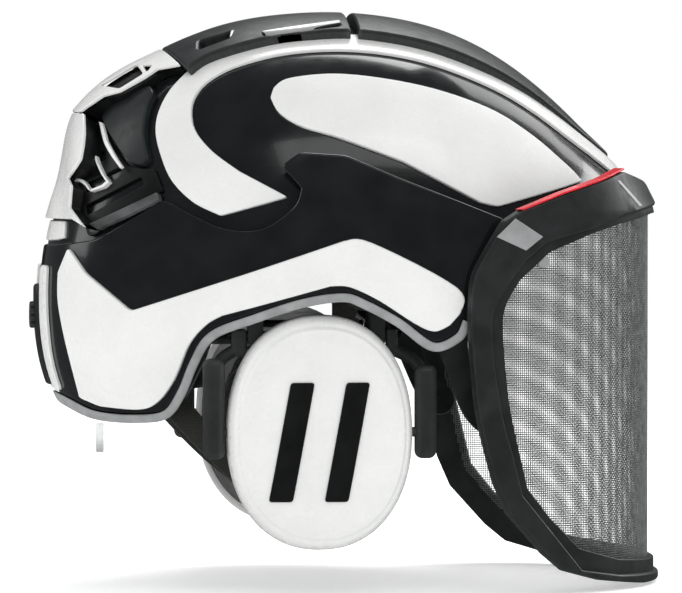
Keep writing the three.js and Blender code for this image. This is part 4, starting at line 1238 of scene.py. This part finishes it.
def visor_fittings():
    accent = visor_chart.fold(resample(ACCENT, 1.5), level(0))
    on_both(plate, "brow_accent_{}_skin", [accent], visor_chart, -FRAME_WALL, 2.5, "red_accent",
            "brow_accent_{}", body="visor", bevel=0.3, folded=True)
    # painted facet highlights on the frame
    for tag, facet in FACET_HIGHLIGHTS:
        flat = visor_chart.fold(resample(np.array(facet, float), 1.0), level(2.4))
        on_both(plate, "visor_facet_" + tag + "_{}", [flat], visor_chart, 2.2, 2.7, "facet_grey",
                "visor_frame", "satin_black", "visor", bevel=0.15, folded=True, edge=1.0)
    nub = lathe((87.4, -101.5, 14), (87.4, -107.2, 14),
                [(0, 2.6), (0.5, 3.2), (5.2, 3.2), (5.7, 2.6)])
    on_both(build, "visor_stop_{}", [nub], "facet_grey", "visor", "visor_arm_{}", "satin_black")
    on_both(plate, "visor_arm_{}_skin", [ARM[:-1]], side_arm, 1.2, 3, "satin_black",
            "visor_arm_{}", body="visor", bevel=0.7)
    posts = [lathe((80, -93.2, 27.5), (80, -105.5, 27.5),
                   [(0, 2.6), (0.6, 3.4), (11.4, 3.4), (12.1, 2.8)]),
             lathe((60, -91.8, -66), (60, -109.7, -66),
                   [(0, 2.6), (0.6, 3.4), (17.0, 3.4), (17.7, 2.8)])]
    on_both(build, "visor_posts_{}", posts, "satin_black", "visor", "visor_arm_{}")
    pin = lathe((0, -97.2, 0), (0, -109, 0),
                [(0, 7.2), (0.5, 8), (2.8, 8), (3.1, 7.6), (3.12, 4), (10.2, 4), (10.25, 6.6),
                 (10.6, 7), (11.4, 6.6), (11.8, 5.2)])
    on_both(build, "visor_pin_{}", [pin], "steel", "visor", "visor_pivot_pin_{}")


visor_fittings()


# ---------- ear muffs ----------
RING_COUNT = 96


def cup_ring(scale, y, inset_by=0.0, count=RING_COUNT):
    """The outline of the cup, scaled, at the distance y from the middle of the helmet."""
    t = np.linspace(0, 2 * math.pi, count, endpoint=False)
    c, s = np.cos(t), np.sin(t)
    reach = 1 / (np.abs(c) ** CUP_POWER + np.abs(s) ** CUP_POWER) ** (1 / CUP_POWER)
    return np.stack([CUP_X + c * reach * (CUP_A - inset_by) * scale, np.full(count, -y),
                     CUP_Z + s * reach * (CUP_B - inset_by) * scale], -1)


def stacked(levels, inset_by=0.0, count=RING_COUNT):
    """Closed form from (scale, distance out) rings, closed by fans."""
    rings = [cup_ring(s, y, inset_by, count) for s, y in levels]
    ends = [[CUP_X, -levels[0][1], CUP_Z], [CUP_X, -levels[-1][1], CUP_Z]]
    verts, n = np.concatenate(rings + [ends]), len(levels)
    first, last = n * count, n * count + 1
    faces = tube(n, count, caps=False)
    faces += [(first, (i + 1) % count, i) for i in range(count)]
    faces += [(last, (n - 1) * count + i, (n - 1) * count + (i + 1) % count) for i in range(count)]
    return verts, faces


CUP_FACE = smooth_path([(1, 98), (0.998, 104), (0.985, 110), (0.95, 115), (0.925, 116.6),
                        (0.905, 117.3), (0.885, 118.9), (0.86, 119.6), (0.75, 121.6),
                        (0.5, 123.6), (0.2, 124.3), (0.0, 124.4)], 90)
CUP_SHARES = [0.9995, 0.998, 0.9945, 0.989, 0.98, 0.968, 0.952, 0.94, 0.93, 0.921, 0.913, 0.906,
              0.9, 0.894, 0.888, 0.88, 0.87, 0.86, 0.84, 0.8, 0.72, 0.62, 0.5, 0.37, 0.24, 0.12,
              0.04]
CUP_HOLLOW = [(0.0001, 119.5), (0.3, 119.2), (0.55, 118), (0.8, 114.5), (0.9, 110),
              (0.935, 104), (0.94, 98.4), (0.965, 98.0), (0.99, 98.0)]


def cup_height(scale):
    order = np.argsort(CUP_FACE[:, 0])
    return np.interp(scale, CUP_FACE[order, 0], CUP_FACE[order, 1])


class CupChart:
    """Side view places laid on the face of the cup."""

    def unfold(self, flat, grow):
        x, z = flat[:, 0], flat[:, 1]
        u, v = np.abs(x - CUP_X) / CUP_A, np.abs(z - CUP_Z) / CUP_B
        scale = (u**CUP_POWER + v**CUP_POWER) ** (1 / CUP_POWER)
        return np.stack([x, -(cup_height(scale) + grow(x)), z], -1)


def ear_muffs():
    levels = [(1.0, 98.2), (1.0, 100)] + [(s, float(cup_height(s))) for s in CUP_SHARES]
    verts, faces = stacked(CUP_HOLLOW + levels)
    # the fan inside the hollow gives way to one flat face
    faces = faces[:-RING_COUNT * 2] + faces[-RING_COUNT:] + [tuple(range(RING_COUNT))[::-1]]
    on_both(build, "ear_cup_{}_shell", (verts, faces), "white_panel", "cup_{}", "ear_cup_{}",
            sharp=50)
    for tag, x in (("rear", -47), ("front", -19)):
        bar = outline([[x + 4, -46]], [[x + 16, -46]], [[x + 5, -106]], [[x - 7, -106]])
        bar = anticlockwise(thin_out(resample(soften(bar, 1.6), 1.2), 0.5))
        on_both(plate, "cup_bar_" + tag + "_{}", [bar], CupChart(), 0.0, 1.1, "deep_black",
                "cup_inlay_" + tag + "_{}", "satin_black", "cup_{}", bevel=0.45, folded=True,
                edge=1.2)


ear_muffs()


def forks():
    """Two legs on a bar that turns on the hinge pin; pins in the legs carry the cup."""
    parts = [sweep(smooth_path([(-70, -91, -31.5), (-28, -91, -31.5), (14, -91, -31.5)], 20),
                   circle(2.6))]
    for x, inner, crown, (low, high), reach in ((-80.0, -69, -34.5, (-70.5, -62.5), 9),
                                                (27.5, 13, -38, (8.5, 14.5), -9)):
        parts.append(block(low, high, -94, -88, -34, -20, 1.4))
        bend = smooth_path([(inner, -91, -31), (x * 0.6 + inner * 0.4, -94.5, -35.5),
                            (x, -101, -44), (x, -102, -50)], 16)
        parts.append(sweep(bend, circle(3.2)))
        parts.append(block(x - 5.6, x + 5.6, -106.5, -97.5, -85.5, crown, 4, 5))
        parts.append(sweep(smooth_path([(x, -102, -72), (x + reach, -102, -72)], 3), circle(2.5)))
    on_both(build, "fork_frame_{}", parts, "satin_black", "fork_{}", "ear_fork_{}")
    pin = lathe((-73, -91, -23), (17, -91, -23),
                [(0, 1.2), (0.5, 2), (89.5, 2), (90, 1.2)], 20)
    on_both(build, "hinge_pin_{}_rod", [pin], "dark_steel", "helmet", "hinge_pin_{}", "steel")


forks()


def brackets():
    lugs = [block(-62, -54, -93.4, -88, -27.5, 4, 1), block(0, 8, -94, -88, -27.5, -8, 1),
            block(-22, -10, -97.4, -88, -6, 5, 1), block(-10.5, 8, -96.8, -88, -8.5, 5, 1)]
    on_both(build, "hinge_lugs_{}", lugs, "satin_black", "helmet", "hinge_bracket_{}")
    loop = outline([[-66, -4]], [[-66, 8]], [[-48, 22]], [[-9.5, 22]], [[-9.5, -1]], [[-48, -1]])
    on_both(plate, "hinge_plate_{}", [soften(loop, 2)], side_dome, -6.6, -3.4, "satin_black",
            "hinge_bracket_{}", bevel=0.6)


brackets()


# ---------- soft goods ----------
CLOTH_FRAMES = 20


def simulate(obj, voxel, pressure, cap):
    """Swells a pad by cloth simulation, by cap at most, then smooths it."""
    mod = obj.modifiers.new("remesh", "REMESH")
    mod.mode, mod.voxel_size = "VOXEL", voxel * MM
    bake(obj)
    start = np.empty(len(obj.data.vertices) * 3)
    obj.data.vertices.foreach_get("co", start)
    cloth = obj.modifiers.new("cloth", "CLOTH")
    cloth.settings.use_pressure = True
    cloth.settings.uniform_pressure_force = pressure
    cloth.settings.effector_weights.gravity = 0
    cloth.settings.quality = 6
    cloth.point_cache.frame_start, cloth.point_cache.frame_end = 1, CLOTH_FRAMES
    for f in range(1, CLOTH_FRAMES + 1):
        bpy.context.scene.frame_set(f)
    bake(obj)
    end = np.empty_like(start)
    obj.data.vertices.foreach_get("co", end)
    move = (end - start).reshape(-1, 3)
    size = np.linalg.norm(move, axis=1, keepdims=True)
    move *= np.minimum(1, cap * MM / np.maximum(size, 1e-9))
    obj.data.vertices.foreach_set("co", (start.reshape(-1, 3) + move).ravel())
    bpy.context.scene.frame_set(1)
    smooth = obj.modifiers.new("smooth", "SMOOTH")
    smooth.factor, smooth.iterations = 0.5, 4
    fine = obj.modifiers.new("fine", "SUBSURF")
    fine.levels = fine.render_levels = 1
    bake(obj)
    obj.data.polygons.foreach_set("use_smooth", [True] * len(obj.data.polygons))
    return obj


def twin(obj, name):
    """The same pad for the left side."""
    verts = np.empty(len(obj.data.vertices) * 3)
    obj.data.vertices.foreach_get("co", verts)
    verts = verts.reshape(-1, 3) * [1, -1, 1] / MM
    faces = [tuple(p.vertices)[::-1] for p in obj.data.polygons]
    return make(name, verts, faces, obj.data.materials[0])


def cushion_ring(count=72):
    """Crowned ring that seals against the head."""
    section = [(0.94, 85.8), (1.0, 88.2), (1.0, 92), (0.98, 95.2), (0.93, 97.0), (0.8, 97.3),
               (0.66, 97.2), (0.62, 95), (0.6, 91), (0.63, 87.5), (0.7, 85.6), (0.82, 85.0)]
    rings = np.stack([cup_ring(s, y, 9.0, count) * [1, 1, 0.8] + [0, 0, -20.4]
                      for s, y in section])
    return rings.reshape(-1, 3), tube(len(section), count, closed=True)


def pad(name, parts, look, swell, node, body="helmet"):
    """A cushion: one closed mesh, swelled by (voxel, pressure, cap)."""
    obj = piece(simulate(solid(name, parts, look), *swell), body, node)
    return obj


def muff_pads():
    foam = stacked([(0.78, 101), (0.8, 103), (0.8, 107), (0.76, 109.2), (0.6, 109.8)], 5.5, 64)
    for name, parts, look, swell, node, fill, slot in (
            ("cushion_", cushion_ring(), "soft_black", (3.4, 3.0, 1.4), "cushion_ring_", 0.8,
             "soft_black"),
            ("foam_", foam, "foam", (4.0, 3.0, 1.2), "foam_insert_", 0.9, "foam")):
        right = pad(name + "right", parts, look, swell, node + "right", "cup_right")
        left = piece(twin(right, name + "left"), "cup_left", node + "left")


muff_pads()

HEAD_TILT = math.radians(17)
HEAD_X, HEAD_Z, HEAD_LONG, HEAD_WIDE, HEAD_TALL = -8, 16.0, 107, 82.8, 90


def band_path(grow, low, high, count):
    """Path of the headband, and its outward directions, between two angles."""
    t = np.linspace(low, high, count)
    x, y = (104 + grow) * np.cos(t), (80 + grow) * np.sin(t)
    way = np.stack([x * math.cos(HEAD_TILT) + HEAD_X, y, x * math.sin(HEAD_TILT) + 14], -1)
    out = unit(np.stack([np.cos(t) / (104 + grow) * math.cos(HEAD_TILT), np.sin(t) / (80 + grow),
                         np.cos(t) / (104 + grow) * math.sin(HEAD_TILT)], -1))
    return way, out


def head(grow, x, y):
    """Height of the crown straps over a place."""
    u, v = (x - HEAD_X) / (HEAD_LONG + grow), y / (HEAD_WIDE + grow)
    return HEAD_Z + (HEAD_TALL + grow) * math.sqrt(max(1 - u * u - v * v, 0.0))


def crown(points):
    """Flat webbing over the head."""
    path = np.array([(x, y, head(0.9, x, y)) for x, y in points], float)
    out = unit((path - [HEAD_X, 0, HEAD_Z]) / [HEAD_LONG**2, HEAD_WIDE**2, HEAD_TALL**2])
    return sweep(path, pill(21, 1.5, 0.7), out)


def crown_cushion(n=12, m=9):
    top = np.array([[(x, y, head(-3, x, y)) for y in np.linspace(-24, 24, m)]
                    for x in np.linspace(-48, 34, n)])
    verts = np.concatenate([(top + [0, 0, 1.6]).reshape(-1, 3), (top - [0, 0, 1.8]).reshape(-1, 3)])
    faces = []
    for i in range(n - 1):
        for j in range(m - 1):
            q = (i * m + j, (i + 1) * m + j, (i + 1) * m + j + 1, i * m + j + 1)
            faces += [q, tuple(k + n * m for k in q[::-1])]
    ring = ([(i, 0) for i in range(n)] + [(n - 1, j) for j in range(1, m)]
            + [(i, m - 1) for i in range(n - 2, -1, -1)] + [(0, j) for j in range(m - 2, 0, -1)])
    ids = [i * m + j for i, j in ring]
    faces += [(a, a + n * m, b + n * m, b) for a, b in zip(ids, ids[1:] + ids[:1])]
    return verts, faces


def nape_path(grow, reach, count):
    t = np.linspace(math.pi - reach, math.pi + reach, count)
    return (np.stack([(112 + grow) * np.cos(t) + HEAD_X, (84 + grow) * np.sin(t), t * 0], -1),
            unit(np.stack([np.cos(t), np.sin(t) * 1.3, t * 0], -1)))


def harness():
    # headband: a flexible strip, open at the back
    way, out = band_path(-1, -2.27, 2.27, 120)
    build("headband_strip", sweep(way, pill(21.6, 1.9, 0.8), out), "satin_black", "helmet",
          "headband", sharp=50)
    way, out = band_path(-4.3, -1.36, 1.36, 70)
    pad("sweat_pad", sweep(way, pill(27, 2.8, 1.3), out), "soft_knit", (2.2, 2.0, 0.5),
        "sweatband")
    straps = [crown([(HEAD_X + 107.2 * math.sin(a), 0) for a in np.linspace(-1.36, 1.02, 70)])]
    for x in (-41, 25):
        half = 82.6 * math.sqrt(1 - ((x - HEAD_X) / HEAD_LONG) ** 2)
        straps.append(crown([(x, half * math.sin(a)) for a in np.linspace(-1.4, 1.4, 70)]))
    build("crown_webbing", straps, "webbing", "helmet", "crown_straps", sharp=50)
    pad("crown_cushion", crown_cushion(), "soft_knit", (2.6, 2.5, 0.8), "crown_pad")
    way, out = nape_path(-6.4, 0.58, 50)
    pad("nape_cushion", sweep(way + [0, 0, -42], pill(27, 4.6, 2), out), "soft_knit",
        (2.8, 2.5, 0.5), "nape_pad", "nape")


def nape_cradle():
    """An arched strip, wide in the middle, that the knob draws forward."""
    way, out = nape_path(-1.5, 0.84, 90)
    t = np.linspace(-1, 1, 90)
    base = pill(1.0, 1.0, 0.2, 3)
    rows = []
    for p, o, h, s in zip(way, out, 38 - 20 * np.abs(t) ** 1.6, t):
        z = -42 + 2.0 * (1 - abs(s)) + 0.5
        rows.append(p + o * base[:, :1] * 2.6 + np.array([0, 0, 1.0]) * (base[:, 1:] * h + z))
    rows = np.array(rows)
    boss = lathe((-146, 0, KNOB_Z), (-117.5, 0, KNOB_Z),
                 [(0, 6.2), (0.8, 7), (27.7, 7), (28.5, 6.4)])
    foot = block(-120, -117.2, -12, 12, -30, -8, 0.8)
    build("nape_arch", [(rows.reshape(-1, 3), tube(*rows.shape[:2])), boss, foot], "satin_black",
          "nape", "nape_cradle", sharp=45)


harness()
nape_cradle()


def knob():
    """Turning knob with grip flutes, on its spindle."""
    count = 120
    t = np.linspace(0, 2 * math.pi, count, endpoint=False)
    flute = 7.0 - 0.75 * np.clip(np.cos(10 * t) * 1.4 - 0.1, 0, 1) ** 1.2
    rows = []
    for x, size in ((-163.8, 0.9), (-164.1, 0.985), (-164.6, 1.0), (-167.6, 1.0), (-168.3, 0.96),
                    (-168.55, 0.88), (-168.6, 0.5), (-168.3, 0.42), (-168.2, 0.1)):
        r = flute * size if size > 0.6 else np.full(count, 7 * size)
        rows.append(np.stack([np.full(count, x), r * np.cos(t), KNOB_Z + r * np.sin(t)], -1))
    rows = np.array(rows)
    stem = lathe((-165, 0, KNOB_Z), (-119, 0, KNOB_Z), [(0, 3), (45.4, 3), (46, 2.4)], 24)
    build("adjuster_wheel", [(rows.reshape(-1, 3), tube(len(rows), count)), stem], "dark_grey",
          "knob", "adjuster_knob", sharp=50)


knob()


def chin_strap():
    rear_leg = smooth_path([(-99, -59, -57), (-86, -67.5, -72), (-68, -75.6, -90),
                            (-44, -77.6, -110)], 60)
    front_leg = smooth_path([(10, -81, 4), (2, -78.6, -30), (-16, -77.8, -74),
                             (-44, -77.6, -110)], 80)
    drop = smooth_path([(-40, -72.5, -110.8), (-37, -65, -115.5), (-27, -46, -118.4),
                        (-24, -20.4, -118.7)], 60)
    yoke = [sweep(p, pill(13, 1.5, 0.7), (0, -1.0, 0)) for p in (rear_leg, front_leg)]
    yoke.append(lathe((-44, -79.8, -110), (-44, -75.4, -110),
                      [(0, 8.4), (0.7, 9.4), (3.7, 9.4), (4.4, 8.4)], 40))
    on_both(build, "yoke_webbing_{}", yoke, "webbing", "helmet", "strap_yoke_{}", sharp=50)
    strap = [sweep(drop, pill(15, 1.5, 0.7), (0, -0.25, -1.0))]
    build("chin_web_right", strap, "webbing", "helmet", "chin_webbing_right", sharp=50)
    # the left half is mirrored and baked in place, attached to no body
    obj = solid("chin_web_left", strap, "webbing", -1.0, 50)
    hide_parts("chin_webbing_left")
    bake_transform(obj)


def buckle():
    obj = build("buckle_socket_body", [block(-37, -11, -18.6, 6, -123.5, -114, 1.6)],
                "satin_black", "helmet", "buckle_socket")
    for x0, x1, y0, y1 in ((-34, -14, -10, 8), (-39, -32.5, -6, 0), (-15.5, -9, -6, 0)):
        cut(obj, [block(x0, x1, y0, y1, -121, -116.5, 0.5)])
    plug = [block(-36, -12, 6.5, 18.6, -122.5, -115, 1.6)]
    for x0, x1, y0 in ((-32.5, -29.5, -5), (-18.5, -15.5, -5), (-25.5, -22.5, -8)):
        plug.append(block(x0, x1, y0, 7, -120.3, -117.3, 0.6))
    build("buckle_plug_body", plug, "satin_black", "plug", "buckle_plug")
    build("hang_loop", [block(-136, -132, -40, -38.8, -85, -70, 0.4)], "clear", "helmet",
          "hang_tab")


chin_strap()
buckle()

LINER_EDGE = outline([[120, 66], [60, 40], [20, 32], [-60, 32], [-110, 34], [-150, 36]], fine=8)
plate("liner_shell", [over_top(LINER_EDGE, level(-3.4), 2, 0.5)], top_dome, -16, -3.4, "liner",
      "inner_liner", "foam", bevel=1.5, folded=True, step=5, edge=3)


# ---------- stage, light, camera ----------
def stage():
    low = cad_box[0][2]
    bpy.ops.mesh.primitive_grid_add(x_subdivisions=40, y_subdivisions=40, size=24,
                                    location=(0, 0, low - 0.0015))
    floor = bpy.context.object
    floor.name = "studio_floor"
    floor.data.materials.append(LOOK["floor"])
    floor.visible_glossy = False

    world = bpy.data.worlds.new("studio")
    bpy.context.scene.world = world
    world.use_nodes = True
    tree = world.node_tree
    path = tree.nodes.new("ShaderNodeLightPath")
    # pale to the camera, dim in reflections, soft for everything else
    base = tree.nodes.new("ShaderNodeRGB")
    seen = base.outputs[0]
    seen.default_value = (0.86, 0.865, 0.87, 1)
    for value, ray in (((0.1, 0.102, 0.105, 1), "Is Glossy Ray"),
                       ((1.0, 1.0, 1.0, 1), "Is Camera Ray")):
        mix = tree.nodes.new("ShaderNodeMix")
        mix.data_type = "RGBA"
        tree.links.new(path.outputs[ray], mix.inputs[0])
        tree.links.new(seen, mix.inputs[6])
        mix.inputs[7].default_value = value
        seen = mix.outputs[2]
    tree.links.new(seen, tree.nodes["Background"].inputs["Color"])

    for name, place, wide, tall, power in (
            ("key_box", (0.35, -1.75, 1.72), 1.75, 0.62, 5.5),
            ("top_strip", (0.3, 1.12, 2.0), 1.2, 1.0, 24),
            ("brow_strip", (1.15, 0.98, 1.6), 1.0, 0.9, 9),
            ("front_strip", (1.85, 0.72, 0.85), 0.9, 0.9, 14),
            ("back_strip", (-1.9, 0.5, 0.9), 0.7, 1.3, 5)):
        light = bpy.data.lights.new(name, "AREA")
        light.shape, light.size, light.size_y, light.energy = "RECTANGLE", wide, tall, power
        obj = bpy.data.objects.new(name, light)
        bpy.context.scene.collection.objects.link(obj)
        obj.location = place
        obj.rotation_euler = (-Vector(place)).to_track_quat("-Z", "Y").to_euler()


stage()


def camera():
    data = bpy.data.cameras.new("camera")
    obj = bpy.data.objects.new("camera", data)
    bpy.context.scene.collection.objects.link(obj)
    azimuth, rise, distance = math.radians(-6), math.radians(1.5), 2.6
    away = Vector((math.sin(azimuth) * math.cos(rise), -math.cos(azimuth) * math.cos(rise),
                   math.sin(rise)))
    aim = Vector((-0.00476, 0, -0.00604))
    obj.location = aim + away * distance
    obj.rotation_euler = (-away).to_track_quat("-Z", "Y").to_euler()
    data.sensor_width, data.lens = 36, 260.8
    data.clip_start, data.clip_end = 0.1, 60
    bpy.context.scene.camera = obj


camera()
bpy.context.scene.view_settings.view_transform = "Standard"
